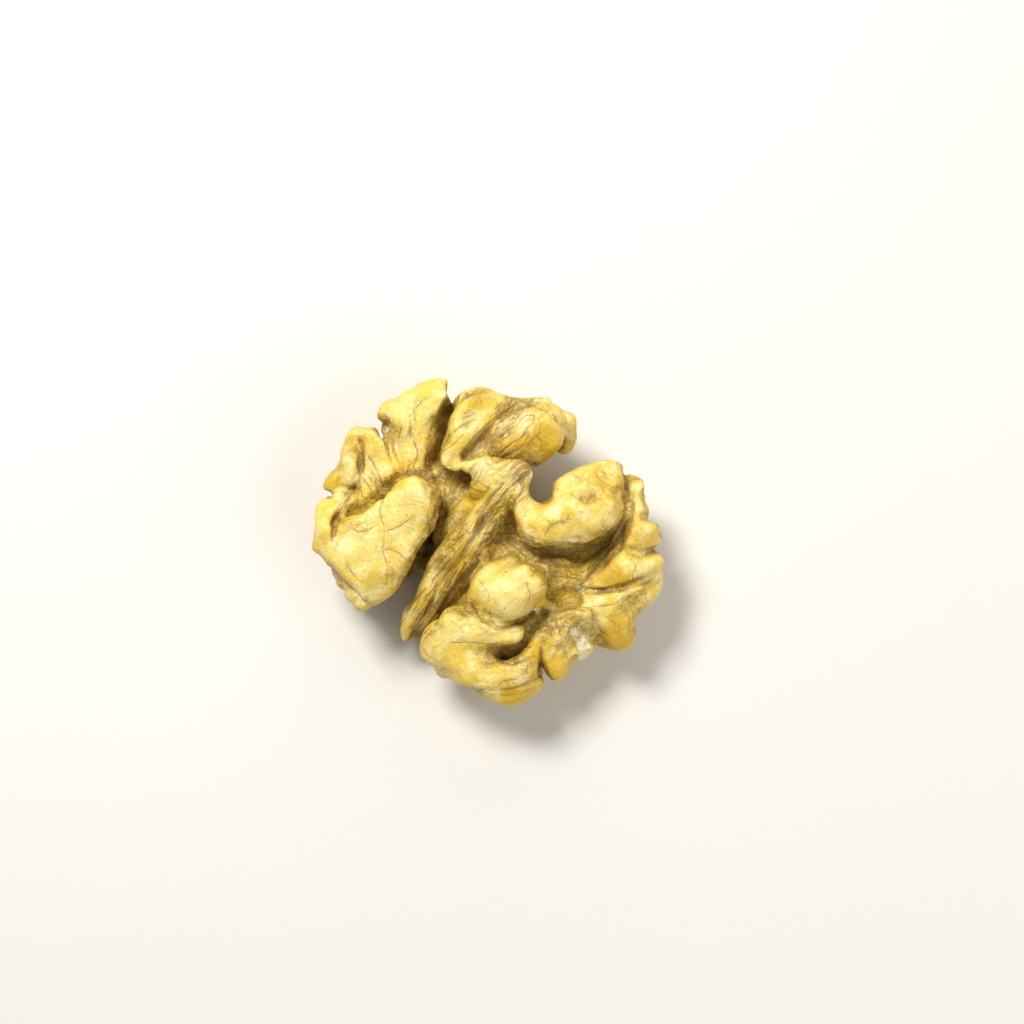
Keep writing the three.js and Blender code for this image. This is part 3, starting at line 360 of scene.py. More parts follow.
# Slow waves that bend every form a little, as growth does: direction per mm, phase and push in mm
WAVES = [
    {"along": [0.9, 0.5, 0.3], "phase": 0.3, "push": [0.22, 0.1, 0.18]},
    {"along": [-0.4, 1, 0.5], "phase": 1.9, "push": [0.1, 0.22, 0.15]},
    {"along": [0.5, -0.7, 0.9], "phase": 4, "push": [0.18, 0.14, 0.12]},
    {"along": [1.9, 1.1, -0.8], "phase": 2.2, "push": [0.1, 0.08, 0.08]},
    {"along": [-1.2, 1.8, 1.4], "phase": 0.8, "push": [0.08, 0.1, 0.07]},
    {"along": [1.4, -2, 1.6], "phase": 5.1, "push": [0.07, 0.07, 0.09]},
]

# Thin veins on the inner face: each is its half width and its line of [x, y] points
VEINS = [
    # on the pad
    [0.07, [[-9.6, 4.3], [-9.9, 3], [-9.5, 1.4], [-9.6, -0.4], [-9.1, -2.2], [-9.4, -3.6]]],
    [0.05, [[-9.7, 1.2], [-8.3, 1.6], [-6.9, 2.6]]],
    [0.04, [[-9.6, -0.2], [-8.4, -0.6], [-7.4, -1.4]]],
    [0.05, [[-13.2, 1.9], [-12, 1.2], [-10.8, 1.5], [-9.8, 1.9]]],
    [0.08, [[-14.4, -2.2], [-13.2, -3.4], [-12.1, -4.4], [-11.2, -5.2]]],
    [0.05, [[-12.9, -1.8], [-13.4, -0.4], [-14.2, 0.6], [-14.1, 1.7]]],
    [0.04, [[-12.9, -1.8], [-12, -3.1], [-11.3, -3.4]]],
    [0.11, [[-12.9, 4.3], [-13.5, 3.1], [-14.1, 2.2], [-14, 1.2], [-14.3, 0.2]]],
    [0.05, [[-14.2, 2.4], [-13.2, 2.2], [-12.4, 2.5]]],
    # on the fringe
    [0.09, [[-11.8, 9.4], [-11.6, 8.2], [-11.7, 7], [-11.9, 5.8], [-12.6, 4.8], [-13, 4.2]]],
    [0.05, [[-11.8, 6.4], [-11, 5.4], [-10.5, 4.2]]],
    [0.04, [[-11.8, 6], [-11.7, 4.9], [-11.3, 3.9]]],
    [0.04, [[-11.9, 5.4], [-12.1, 4.3], [-11.9, 3.2]]],
    [0.05, [[-10.9, 7.9], [-10.3, 6.8], [-9.8, 5.6], [-9.4, 4.6]]],
    [0.07, [[-8.1, 10.6], [-8.4, 9.2], [-8, 7.8], [-7.9, 6.4]]],
    [0.05, [[-7.2, 11.8], [-6.4, 12.9], [-5.7, 13.4]]],
    [0.07, [[-4.6, 10.4], [-5.4, 9], [-5.7, 7.6], [-5.3, 6.2]]],
    [0.1, [[-3.8, 9.9], [-4.3, 8.8], [-5, 7.6], [-5.4, 6.6], [-4.9, 5.4]]],
    [0.05, [[-6.9, 9.4], [-6.6, 8.2], [-6.9, 7], [-6.2, 6]]],
    # on the hood
    [0.13, [[-2.3, 7.9], [-1.2, 9.2], [-0.2, 10.4], [0.9, 11.5], [2.2, 12.2], [3.5, 12.7], [4.8, 12.3]]],
    [0.07, [[-1.6, 8], [-0.6, 9.2], [0.4, 10.2], [1.4, 11.1], [2.6, 11.7]]],
    [0.05, [[-0.8, 8], [0.2, 9], [1.2, 10], [2.2, 10.8]]],
    [0.06, [[-4.6, 8.3], [-3.7, 9.6], [-2.9, 10.6], [-1.6, 11.3]]],
    [0.05, [[-4.9, 7.9], [-3.6, 8.9], [-2.4, 9.9]]],
    [0.07, [[0.9, 8.2], [1.9, 9.1], [2.9, 9.8], [3.3, 10.3]]],
    [0.05, [[1.7, 8], [2.6, 8.6], [3.4, 9.4]]],
    [0.05, [[4.2, 9.9], [4.7, 9.3], [4.5, 8.6]]],
    [0.06, [[4.6, 12.3], [5.6, 11.8], [6.2, 10.9]]],
    # on the facet, the crest and its flanks
    [0.1, [[3.4, 6.3], [2.4, 5.6], [1.3, 4.6], [0.4, 3.3], [-0.4, 1.9], [-1.4, 0.7]]],
    [0.05, [[3.1, 6.2], [2.9, 5], [2.3, 4], [1.3, 3]]],
    [0.06, [[-2.5, 6.6], [-1.6, 5.8], [-0.6, 5.2], [0.2, 4.9]]],
    [0.04, [[-2.8, 6.2], [-1.9, 5.3], [-1.1, 4.8]]],
    [0.09, [[-2.1, 1.1], [-1.2, 1.3], [-0.6, 2.1]]],
    [0.07, [[-1.2, 1.2], [-2.4, -0.4], [-3.6, -2.2], [-4.8, -4.2], [-6, -6.4], [-7.2, -8.2]]],
    [0.06, [[-1.6, -0.4], [-2.9, -2.2], [-4.3, -4.4], [-5.6, -6.6]]],
    [0.05, [[-0.9, -0.9], [-2.2, -2.5], [-3.8, -4.7], [-5.2, -6.9]]],
    [0.06, [[-0.4, 0.4], [-1.7, -1.6], [-3.2, -3.6], [-4.6, -5.9], [-5.7, -7.8]]],
    # under and on the arm
    [0.1, [[-0.4, 1], [0.8, 1.1], [2.2, 1.1], [3.3, 0.4], [4.9, -0.3], [6.6, -0.5]]],
    [0.06, [[0.6, 0.2], [1.8, 0.4], [3, -0.2], [4.2, -0.9]]],
    [0.05, [[5, 1], [5.5, 1.7], [6.1, 2.2]]],
    [0.04, [[5.5, 1.7], [5.1, 2.3], [4.4, 2.7]]],
    [0.04, [[7.4, 4.6], [8.3, 4.1], [9.6, 4.3], [10.6, 3.6]]],
    [0.06, [[10, 5.9], [10.9, 5.3], [11.9, 5.2]]],
    # in the field
    [0.1, [[13, 4.2], [12.7, 2.8], [11.9, 1.4], [11.1, 0], [10, -1.7], [9.1, -2.8], [8.2, -3.7]]],
    [0.06, [[12.2, 4.4], [12.3, 3], [11.7, 1.8], [10.7, 0.4]]],
    [0.06, [[4.9, -3.5], [6, -2.9], [7.2, -2.9], [8.6, -3.3]]],
    [0.05, [[4.4, -1.5], [5.8, -1.9], [7.2, -2], [8.4, -1.8]]],
    [0.05, [[3.9, -2.2], [5.2, -2.5], [6.4, -2.4]]],
    [0.07, [[4.9, -6.3], [6, -6.1], [7.4, -5.8], [8.6, -6]]],
    [0.05, [[4.3, -6.9], [5.2, -7.4], [6.4, -7.4]]],
    # on the right lobes
    [0.1, [[9, -4], [10.3, -4.1], [11.8, -4.2], [13, -3.8], [14.4, -3.4], [15.2, -3]]],
    [0.05, [[12.6, -1], [13.2, -1.9], [12.9, -2.9], [13.3, -3.7]]],
    [0.05, [[9.2, -6], [9.4, -7], [9.2, -8]]],
    [0.05, [[9.4, -5.6], [10.6, -5.5], [11.8, -5.2], [12.9, -4.7]]],
    [0.04, [[10.6, -6.6], [11.4, -7.3], [11.9, -8.3]]],
    # round the knob and on the lower lobes
    [0.1, [[-1.8, -5.4], [-0.9, -6.6], [0.2, -7.2], [1.4, -7.3], [2.8, -6.9], [3.8, -6.1], [4.4, -4.9]]],
    [0.04, [[3.3, -3.4], [3.6, -4.6], [3.1, -5.8]]],
    [0.04, [[-0.9, -3.2], [-0.1, -4.5], [-0.4, -5.9]]],
    [0.04, [[-3.4, -8.8], [-1.6, -8.8], [0.4, -9], [2, -9]]],
    [0.08, [[0.2, -9.3], [1.1, -10.4], [2.2, -10.8], [3.2, -10.5]]],
    [0.08, [[-0.9, -13.2], [0.8, -13.2], [2.5, -12.9], [4, -12.3], [4.6, -11.9]]],
    [0.04, [[0.4, -13.1], [1.2, -12.4], [2.4, -12.1]]],
]
VEIN_GROOVE = 1.5  # a vein's groove is this many half widths deep
VEIN_SHALLOW = 0.03  # less this
VEIN_TAPER = 0.55  # how much narrower a vein is at its end
VEIN_BED = 0.24  # how far its groove spreads
VEIN_HALO = 0.45  # and its stain
VEIN_BOLD = 0.1  # the half width of a vein that stains the skin in full
NO_VEIN = 40.0  # the distance, in half widths, given to what has no vein near
VEIN_FRONT = 0.02  # veins are drawn on what belongs to the inner face by more than this

# Tints of the inner face: runs of [x, y, radius] circles that each tint fills, and fades out of
TINT_REACH = 3  # a tint shows no farther than this from its circles' middles
TINT_FADE = 0.6  # it fades out this far to either side of their edge
TWIN_SHIFT = 0.01  # a lone circle gets a twin this far beside it, because a run needs two
TINTS = {
    # painted light and shade: gold for the light shining through thin lobe ends, and amber painted shade in
    # hollows
    "golden": [
        [[-13.4, 2.6, 0.8], [-12.2, 3.2, 0.9], [-11.2, 3.8, 0.6]], [[-14.5, 5.4, 0.9]],
        [[-10.2, 11.2, 0.8]], [[-11.8, 8.8, 0.9], [-11.4, 9.4, 0.7]], [[-8.7, 5.7, 0.9], [-8.2, 6.4, 0.6]],
        [[-5.2, 9.2, 0.9], [-5.4, 8, 0.7]], [[0.6, 8.6, 1], [2.2, 9, 1.4], [3.6, 9.2, 1.1]],
        [[2, -13.6, 0.9], [3.6, -13.4, 0.9]], [[5, 9.8, 1.4], [5.2, 8.8, 1]],
        [[13.6, -8.6, 1.3], [12, -8.8, 1.8], [11.6, -7.4, 1.3]],
        [[9.4, -3, 0.8], [10.8, -2.6, 1.1], [11.9, -3.4, 0.9]], [[5.6, -4.8, 0.9], [7.4, -5, 1]],
        [[5, -11.8, 1.2], [6.6, -11, 1.3]], [[-3.2, 5.6, 0.9], [-1.8, 5, 1.1], [-0.6, 4.8, 0.6]],
        [[9, 4.2, 0.5], [9.8, 3.8, 0.4]], [[12.8, 2.4, 0.9], [13, 1.2, 0.7]], [[3.8, -9.6, 0.8]],
        [[-1.4, 13, 0.7], [0.4, 12.9, 0.7]], [[7.9, -8.9, 0.7]], [[-2.9, -2.4, 0.7], [-1.9, -1, 0.8]],
    ],
    # painted shade: olive on the wrinkled floors between the folds
    "olive": [
        [[-2.2, 2.8, 0.6], [-3.4, 0.6, 0.9], [-4.6, -1.6, 0.7]],
        [[-4.6, 5.6, 1.1], [-4, 4, 1.3], [-4.4, 2.2, 1.1], [-5.4, 0.2, 0.9], [-6.2, -2, 0.8]],
        [[0.6, 2.6, 0.8], [1.4, 1.9, 0.9]],
        [[3.4, -0.4, 1], [5.2, -1.2, 1.5], [7.6, -1.8, 1.6], [9.4, -1.4, 1.2]],
        [[5.2, -2.8, 1], [6.6, -3.4, 0.9]],
        [[4.2, -7.4, 0.8], [5, -8.2, 0.8], [6, -7.4, 1], [7.8, -7, 0.9]],
        [[0.4, -9.6, 0.7], [1.8, -10, 0.9]], [[10.6, 1, 0.7], [9.8, -0.4, 0.8]],
        [[1.2, 8.3, 0.7], [-0.2, 9, 0.8], [1, 10.2, 0.8]],
    ],
    # brown flanks, partly painted shade, and painted shade in the deepest hollows and under the arm
    "brown": [
        [[1.2, 2.4, 0.6], [0, 0.4, 0.7], [-1.4, -1.6, 0.7]],
        [[-0.6, 1, 0.5], [0.8, 0.8, 0.8], [2.4, 0.5, 0.9], [3.8, 0, 0.8], [5.4, -0.4, 0.6]],
        [[7.4, 0.2, 0.5], [8.8, 0.2, 0.8], [10.2, 0.4, 0.7]],
        [[-0.9, -0.9, 0.6], [-2.4, -2.6, 0.9], [-3.8, -4.8, 1], [-5.2, -7, 0.8], [-6.2, -8, 0.6]],
        [[-5.3, 1.6, 0.5], [-6.3, -0.2, 0.6], [-7, -2, 0.6], [-7.6, -3.6, 0.6]],
        [[1.4, -10.1, 0.7], [2.4, -10.3, 0.6]], [[0.2, 4, 0.4], [0.9, 3.2, 0.6]],
        [[-3.4, 6.2, 0.4], [-2.4, 5.5, 0.5]], [[0.2, 9.2, 0.5], [1, 9.8, 0.4]],
        [[3.2, 2.9, 0.4], [2.3, 3.4, 0.5]], [[-5.2, 7, 0.5], [-4.8, 6, 0.5]],
    ],
    # painted light: pale skin where the light falls fullest
    "pale": [
        [[-12, -1, 1.8], [-10, 1.4, 2], [-7.4, 3.4, 1.8]], [[0.6, -3.4, 1.9], [2, -3.6, 1.7]],
        [[-5.8, 11.6, 1.4]], [[-1.6, 7.2, 1], [0.6, 6.6, 1.2], [2.4, 7, 0.8]], [[13.9, -1.6, 1.2]],
        [[-3.2, -7.6, 1.4], [-1.2, -7.4, 1.2]], [[-2.8, 11.4, 1.1]], [[7, -3.8, 0.6]],
        [[-12.4, 6.4, 0.9], [-10.8, 7, 0.8]], [[-5.2, -3.4, 0.5]],
    ],
    # broken, rough ends
    "rough": [
        [[7.6, 6.2, 0.7], [9.2, 6, 1], [10.6, 5.9, 1.1], [11.8, 5.2, 0.9]],
        [[7.6, -8, 0.6], [8.4, -9.2, 0.8]], [[-12.4, -5.4, 0.6], [-10.4, -5.2, 0.6]],
        [[4, 13, 0.7], [6.8, 11, 0.7], [7.2, 9.4, 0.6]],
        [[-4.6, 5.4, 0.8], [-4.2, 3.8, 1], [-4.8, 1.8, 0.8]], [[7.8, -4, 0.7]],
    ],
    # bare flesh where the skin is chipped off
    "flesh": [
        [[7.7, -7.9, 0.35], [8.4, -8.6, 0.6], [8.7, -9.6, 0.6], [8.4, -10.6, 0.4]], [[-9.6, 10.5, 0.3]],
        [[4.3, -6, 0.28]], [[13.7, 1.2, 0.2], [13.9, 0.9, 0.15]], [[3.8, 6.9, 0.2], [3.9, 6.2, 0.2]],
        [[7.3, 10.6, 0.15], [7.5, 9.8, 0.2]], [[4.2, 13.3, 0.12]], [[11, 6.9, 0.12]],
        [[8, -3.9, 0.25], [8.4, -4.3, 0.2]],
    ],
}

# Runs of wrinkles on the inner face: how far to each side, how strong, and [x, y] points along the run
GRAIN_REACH = 2.5  # no wrinkles lie farther than this from the box round their run
GRAIN_FULL = 0.55  # they keep their full strength out to this share of their reach
GRAINS = [
    [2.3, 1, [[-7.8, -8.6], [-5.8, -5.8], [-3.6, -2.6], [-1.4, 0.6], [0.6, 3.4], [3.2, 6.4]]],
    [2.2, 0.75, [[-2.2, 6.6], [-0.8, 8.6], [0.8, 10.4], [2.8, 12.2]]],
    [1.4, 0.9, [[0.6, 7.8], [2.4, 9.4], [3.6, 10.8]]],
    [1.1, 0.7, [[-3.6, 6.8], [-1.8, 5.4], [0, 4.6]]],
    [1.3, 0.8, [[0.2, 1.4], [2.4, 0.6], [4.6, -0.5], [7.6, -0.7], [10.6, 0.3], [12.4, 2.4]]],
    [0.9, 0.7, [[12.6, 3.6], [11, -0.2], [8.4, -3.6]]],
    [1.3, 0.8, [[-5.2, 7.4], [-4.4, 4.6], [-4.8, 1.8], [-6.6, -1.6], [-7.8, -4.4]]],
    [0.8, 0.6, [[-2, -5.6], [0.4, -7.4], [3, -7], [4.6, -5]]],
    [1.1, 0.6, [[3.8, -7.6], [6, -6.6], [8.8, -6.2]]],
    [0.9, 0.5, [[-11.9, 9], [-11.6, 7], [-12.4, 5], [-13.9, 2.6]]],
    [0.9, 0.5, [[-5, 10.8], [-5.6, 8.6], [-5.4, 6.4]]],
    [0.8, 0.6, [[8.8, -4], [11.4, -4.2], [15, -3.2]]],
    [0.9, 0.7, [[0.2, -9.4], [1.6, -10.6], [3.4, -10.2]]],
    [0.7, 0.5, [[-1.4, -13.2], [2.6, -12.9], [4.8, -11.8]]],
]


# A fixed draw between 0 and 1 for each number
def chance(n):
    v = math.sin(n * 12.9898 + 4.1) * 43758.5453
    return v - math.floor(v)


# A smooth run through given points, each a list of numbers
def smooth_run(points, steps=4, closed=False):
    p = np.array(points, float)
    if closed:
        before, after = p[-1:], p[:2]
    else:
        before, after = 2 * p[:1] - p[1:2], 2 * p[-1:] - p[-2:-1]
    p = np.vstack([before, p, after])
    run = []
    for a, b, c, d in zip(p[:-3], p[1:-2], p[2:-1], p[3:]):
        for t in np.arange(steps) / steps:
            run.append(0.5 * (2 * b + (c - a) * t + (2 * a - 5 * b + 4 * c - d) * t**2
                              + (3 * b - a - 3 * c + d) * t**3))
    if not closed:
        run.append(p[-2])
    return np.array(run, np.float32)


# The middle line of a back fold: it sags below a quarter ellipse, wanders sideways and swells into knobs
def back_fold(start, end, radius, n):
    across = np.array(end) - start
    length = math.hypot(across[0], across[1])
    line = []
    for u in np.linspace(0, 1, FOLD_STRETCHES + 1):
        wander = FOLD_WANDER * math.sin(math.tau * (u * length / WANDER_LENGTH + chance(n)))
        swell = 1 + FOLD_SWELL * math.sin(math.tau * (u * length / SWELL_LENGTH + chance(n + SECOND_DRAW)))
        fall = (start[2] - end[2]) * math.sqrt(1 - u * u) - FOLD_SAG * length * math.sin(math.pi * u)
        line.append([
            start[0] + across[0] * u - across[1] / length * wander,
            start[1] + across[1] * u + across[0] / length * wander,
            end[2] + fall,
            radius * swell * (1 - FOLD_TAPER * u * u),
        ])
    return np.array(line, np.float32)


# 1 in the middle, falling to nothing at about twice the width
def bell(value, width):
    return np.exp(-((value / width) ** 2))


# 0 up to low, 1 from high on and smooth in between
def smooth_step(low, high, value):
    t = np.clip((value - low) / (high - low), 0, 1)
    return t * t * (3 - 2 * t)


# Which points are within reach of a box
def near_box(points, low, high, reach):
    return np.flatnonzero(((points > low - reach) & (points < high + reach)).all(axis=1))


# Which points are within reach of the box round a line
def near_line(points, line, reach):
    line = line[:, :points.shape[1]]
    return near_box(points, line.min(axis=0), line.max(axis=0), reach)


# For each stretch of a line: its ends, the way to each point from its start, the share of it that the
# point's nearest place is along, and the point's distance
def stretches(points, line):
    size = points.shape[1]
    for a, b in zip(line[:-1], line[1:]):
        ab = (b - a)[:size]
        ap = points - a[:size]
        t = np.clip(ap @ ab / (ab @ ab), 0, 1)
        away = np.sqrt(((ap - t[:, None] * ab) ** 2).sum(axis=1))
        yield a, b, ap, t, away


# 1 for points to the left of a stretch in the plane and -1 for those to its right
def side_of(a, b, ap):
    ab = b - a
    return np.where(ab[0] * ap[:, 1] < ab[1] * ap[:, 0], -1, 1)


# Distance from a round ridge along a line of [x, y, z, radius], or of [x, y, radius] in the plane
def ridge_distance(points, line):
    least = np.full(len(points), FAR, np.float32)
    for a, b, _, t, away in stretches(points, line):
        least = np.minimum(least, away - (a[-1] + t * (b[-1] - a[-1])))
    return least


# Distance in the face's own plane from a closed outline, less than 0 inside it
def outline_distance(points, outline):
    least = np.full(len(points), FAR, np.float32)
    inside = np.zeros(len(points), bool)
    for a, b, ap, _, away in stretches(points, np.vstack([outline, outline[:1]])):
        least = np.minimum(least, away)
        if a[1] != b[1]:
            between = (a[1] > points[:, 1]) != (b[1] > points[:, 1])
            inside ^= between & (ap[:, 0] < ap[:, 1] * (b[0] - a[0]) / (b[1] - a[1]))
    return np.where(inside, -least, least)


# A ridge or a plate as its lowest and highest corner and its distance function
def ridge_part(line):
    radius = line[:, 3].max()
    low = line[:, :3].min(axis=0) - radius
    high = line[:, :3].max(axis=0) + radius
    return low, high, lambda p: ridge_distance(p, line)


def plate_part(plate):
    outline = smooth_run(plate["outline"], closed=True)
    middle = outline.mean(axis=0)
    slope = np.array(plate["slope"], np.float32)
    heights = plate["level"] + (outline - middle) @ slope

    def distance(p):
        outward = outline_distance(p[:, :2], outline)
        height = plate["level"] + (p[:, :2] - middle) @ slope
        height = height + plate["crown"] * np.clip(-outward / CROWN_REACH, 0, 1)
        return np.hypot(np.maximum(outward + plate["edge"], 0), p[:, 2] - height) - plate["edge"]

    low = np.append(outline.min(axis=0), heights.min() - plate["edge"])
    high = np.append(outline.max(axis=0), heights.max() + plate["edge"] + plate["crown"])
    return low, high, distance


# The soft union of parts, each worked out only where it is within reach
def soft_union(points, parts, blend):
    total = np.full(len(points), math.exp(-FAR / blend))
    for low, high, distance in parts:
        some = near_box(points, low, high, REACH)
        total[some] += np.exp(-distance(points[some]) / blend)
    return -blend * np.log(total)


# The least of several distances, or the greater of two, with a soft turn from one to the next
def soft_least(distances, blend):
    least = np.minimum.reduce(distances)
    return least - blend * np.log(sum(np.exp((least - d) / blend) for d in distances))


def soft_most(a, b, blend):
    return -soft_least([-a, -b], blend)


def form_parts(form):
    ridges = [ridge_part(smooth_run(points)) for points in form["folds"]]
    return ridges + [plate_part(plate) for plate in form.get("plates", [])]


front_forms = [(form_parts(form), form["blend"]) for form in FRONT_FORMS]
body_parts = form_parts(BODY)
back_parts = [ridge_part(back_fold(*fold, n + 1)) for n, fold in enumerate(BACK_FOLDS)]
hollow_parts = [ridge_part(smooth_run(points)) for points in HOLLOWS]
cleft_lines = [smooth_run(points, LINE_STEPS) for points in CLEFTS]
groove_lines = [smooth_run(points) for _, _, points in GROOVES]


# How far each point is from its nearest back fold and from the next nearest
def nearest_back_folds(points):
    nearest = np.full(len(points), FAR, np.float32)
    second = nearest.copy()
    for low, high, distance in back_parts:
        some = near_box(points, low, high, REACH)
        d = distance(points[some])
        second[some] = np.minimum(second[some], np.maximum(nearest[some], d))
        nearest[some] = np.minimum(nearest[some], d)
    return nearest, second


# Every form is bent a little by slow waves, as growth does
def bent(points):
    out = points.copy()
    for wave in WAVES:
        swing = np.sin(points @ np.array(wave["along"], np.float32) + wave["phase"])
        out += swing[:, None] * np.array(wave["push"], np.float32)
    return out


# How deep the creases of the inner face are at each point
def groove_depth(points):
    flat = points[:, :2]
    deepest = np.zeros(len(points))
    for (depth, width, _), line in zip(GROOVES, groove_lines):
        some = near_line(flat, line, LINE_REACH)
        away = np.minimum.reduce([away for *_, away in stretches(flat[some], line)])
        deepest[some] = np.maximum(deepest[some], depth * bell(away, width))
    return deepest / (1 + np.exp((FRONT_LEVEL - points[:, 2]) / FRONT_FADE))


# Distance from the kernel's surface, less than 0 inside the kernel
def kernel_distance(points):
    p = bent(points)
    nearest, second = nearest_back_folds(p)
    crease = CREASE_DEPTH * bell(second - nearest, CREASE_WIDTH)
    back = soft_union(p, back_parts, BLEND["back_fold"]) + crease
    flesh = soft_least([soft_union(p, body_parts, BODY["blend"]), back], BLEND["back_to_body"])
    flesh = soft_most(flesh, -soft_union(p, hollow_parts, BLEND["hollow"]), BLEND["hollow"])
    for line in cleft_lines:
        flesh = soft_most(flesh, -ridge_distance(p[:, :2], line), BLEND["cleft"])
    front = soft_least([soft_union(p, parts, blend) for parts, blend in front_forms], BLEND["front"])
    return (soft_least([flesh, front], BLEND["front_to_body"]) + groove_depth(p)).astype(np.float32)


# The corners of a cell, its edges as pairs of corners, and the four cells round a grid edge
CORNERS = [(n & 1, n >> 1 & 1, n >> 2) for n in range(8)]
EDGES = [(n, m) for n in range(8) for m in range(n) if bin(n ^ m).count("1") == 1]
RING = [(0, 0), (1, 0), (1, 1), (0, 1)]


# The distances on a fine grid, worked out only in the cells of the rough grid that may hold the surface
def fine_field():
    low, high = np.array(FACE_BOX["low"]), np.array(FACE_BOX["high"])
    count = np.ceil((high - low) / CELL).astype(int) + 1
    rough_points = low + np.indices(count).reshape(3, -1).T * CELL
    rough = kernel_distance(rough_points.astype(np.float32)).reshape(count)
    close = np.abs(rough) < NEAR_SURFACE
    holds = np.zeros(count - 1, bool)
    for a, b, c in CORNERS:
        holds |= close[a:count[0] - 1 + a, b:count[1] - 1 + b, c:count[2] - 1 + c]
    cells = np.argwhere(holds)
    fine_count = (count - 1) * CELL_PARTS + 1
    wanted = np.zeros(fine_count, bool)
    for a in range(CELL_PARTS + 1):
        for b in range(CELL_PARTS + 1):
            for c in range(CELL_PARTS + 1):
                wanted[tuple((cells * CELL_PARTS + [a, b, c]).T)] = True
    nearest = [np.rint(np.arange(n) / CELL_PARTS).astype(int) for n in fine_count]
    field = rough[np.ix_(*nearest)].copy()
    step = CELL / CELL_PARTS
    field[wanted] = kernel_distance((low + np.argwhere(wanted) * step).astype(np.float32))
    return field, low, step


# One point in each cell that the surface passes through, and the four points round each crossed grid edge
def surface_net(field, low, step):
    inside = field < 0
    size = np.array(field.shape)
    filled = sum(inside[a:size[0] - 1 + a, b:size[1] - 1 + b, c:size[2] - 1 + c].astype(np.int8)
                 for a, b, c in CORNERS)
    cells = np.argwhere((filled > 0) & (filled < 8))
    number = np.full(size - 1, -1, np.int64)
    number[tuple(cells.T)] = np.arange(len(cells))
    value = [field[tuple((cells + corner).T)] for corner in CORNERS]
    total = np.zeros((len(cells), 3))
    crossings = np.zeros(len(cells))
    for n, m in EDGES:
        crossed = (value[n] < 0) != (value[m] < 0)
        t = value[n][crossed] / (value[n][crossed] - value[m][crossed])
        start, end = np.array(CORNERS[n]), np.array(CORNERS[m])
        total[crossed] += start + t[:, None] * (end - start)
        crossings[crossed] += 1
    points = low + (cells + total / crossings[:, None]) * step
    quads = []
    units = np.eye(3, dtype=int)
    for c in range(3):
        unit, u, v = units[c], units[(c + 1) % 3], units[(c + 2) % 3]
        here = inside[tuple(slice(0, s - d) for s, d in zip(size, unit))]
        beyond = inside[tuple(slice(d, s) for s, d in zip(size, unit))]
        starts = np.argwhere(here != beyond)
        ring = np.stack([number[tuple((starts - a * u - b * v).T)] for a, b in RING], 1)
        outward = inside[tuple(starts.T)]
        quads.append(np.where(outward[:, None], ring, ring[:, ::-1]))
    return points, np.vstack(quads)


# The piece of surface that most points belong to, so that no closed pocket is kept inside the flesh
def largest_piece(points, quads):
    label = np.arange(len(points))
    while True:
        least = label[quads].min(axis=1)
        new = label.copy()
        for corner in range(4):
            np.minimum.at(new, quads[:, corner], least)
        new = new[new]
        if (new == label).all():
            break
        label = new
    keep = label == np.bincount(label).argmax()
    renumber = np.cumsum(keep) - 1
    return points[keep], renumber[quads[keep[quads[:, 0]]]]


# The mean of each point's neighbours along the edges of the net
def neighbour_mean(values, quads):
    total = np.zeros_like(values)
    count = np.zeros(len(values))
    for corner in range(4):
        here = quads[:, corner]
        for step in (1, 3):
            beside = quads[:, (corner + step) % 4]
            for c in range(values.shape[1]):
                total[:, c] += np.bincount(here, values[beside, c], len(values))
            count += np.bincount(here, minlength=len(values))
    return total / count[:, None]


def normals_of(points, quads):
    corners = points[quads]
    face = np.cross(corners[:, 2] - corners[:, 0], corners[:, 3] - corners[:, 1])
    total = np.zeros_like(points)
    for corner in range(4):
        for c in range(3):
            total[:, c] += np.bincount(quads[:, corner], face[:, c], len(points))
    return total / np.linalg.norm(total, axis=1, keepdims=True)


NOISE_SIDE = 32
NOISE_TABLE = np.random.default_rng(7).random((NOISE_SIDE, NOISE_SIDE, NOISE_SIDE))
DRAW_SHIFT = 5.37  # how far apart two draws lie in the table


# One of the smooth noises, at each point
def noise(kind, points):
    height, width, draw = NOISES[kind]
    p = points / width + draw * DRAW_SHIFT
    base = np.floor(p).astype(int)
    t = p - base
    t = t * t * (3 - 2 * t)
    total = np.zeros(len(p))
    for a, b, c in CORNERS:
        share = np.abs([1 - a, 1 - b, 1 - c] - t).prod(axis=1)
        total += share * NOISE_TABLE[tuple(((base + [a, b, c]) % NOISE_SIDE).T)]
    return height * (2 * total - 1)


# How far each point is beside its nearest vein, in half widths with a side, and how deep the groove is there
def vein_marks(flat):
    side = np.full(len(flat), NO_VEIN)
    groove = np.zeros(len(flat))
    stain = np.zeros(len(flat))
    for half, points in VEINS:
        line = smooth_run(points, LINE_STEPS)
        some = near_line(flat, line, LINE_REACH)
        beside = np.full(len(some), NO_VEIN)
        for n, (a, b, ap, t, away) in enumerate(stretches(flat[some], line)):
            way = (n + t) / (len(line) - 1)
            marked = side_of(a, b, ap) * away / (half * (1 - VEIN_TAPER * way**2))
            beside = np.where(np.abs(marked) < np.abs(beside), marked, beside)
        distance = np.abs(beside) * half
        depth = VEIN_GROOVE * half - VEIN_SHALLOW
        groove[some] = np.maximum(groove[some], depth * bell(distance, VEIN_BED))
        stain[some] = np.maximum(stain[some], half / VEIN_BOLD * bell(distance, VEIN_HALO))
        side[some] = np.where(np.abs(beside) < np.abs(side[some]), beside, side[some])
    return side, groove, stain


# How much of a tint each point has
def tint_share(flat, tint):
    share = np.zeros(len(flat))
    for run in TINTS[tint]:
        circles = np.array(run * 2 if len(run) == 1 else run, np.float32)
        if len(run) == 1:
            circles[1, :2] += TWIN_SHIFT
        some = near_line(flat, circles, TINT_REACH)
        depth = -ridge_distance(flat[some], circles)
        share[some] = np.maximum(share[some], smooth_step(-TINT_FADE, TINT_FADE, depth))
    return share


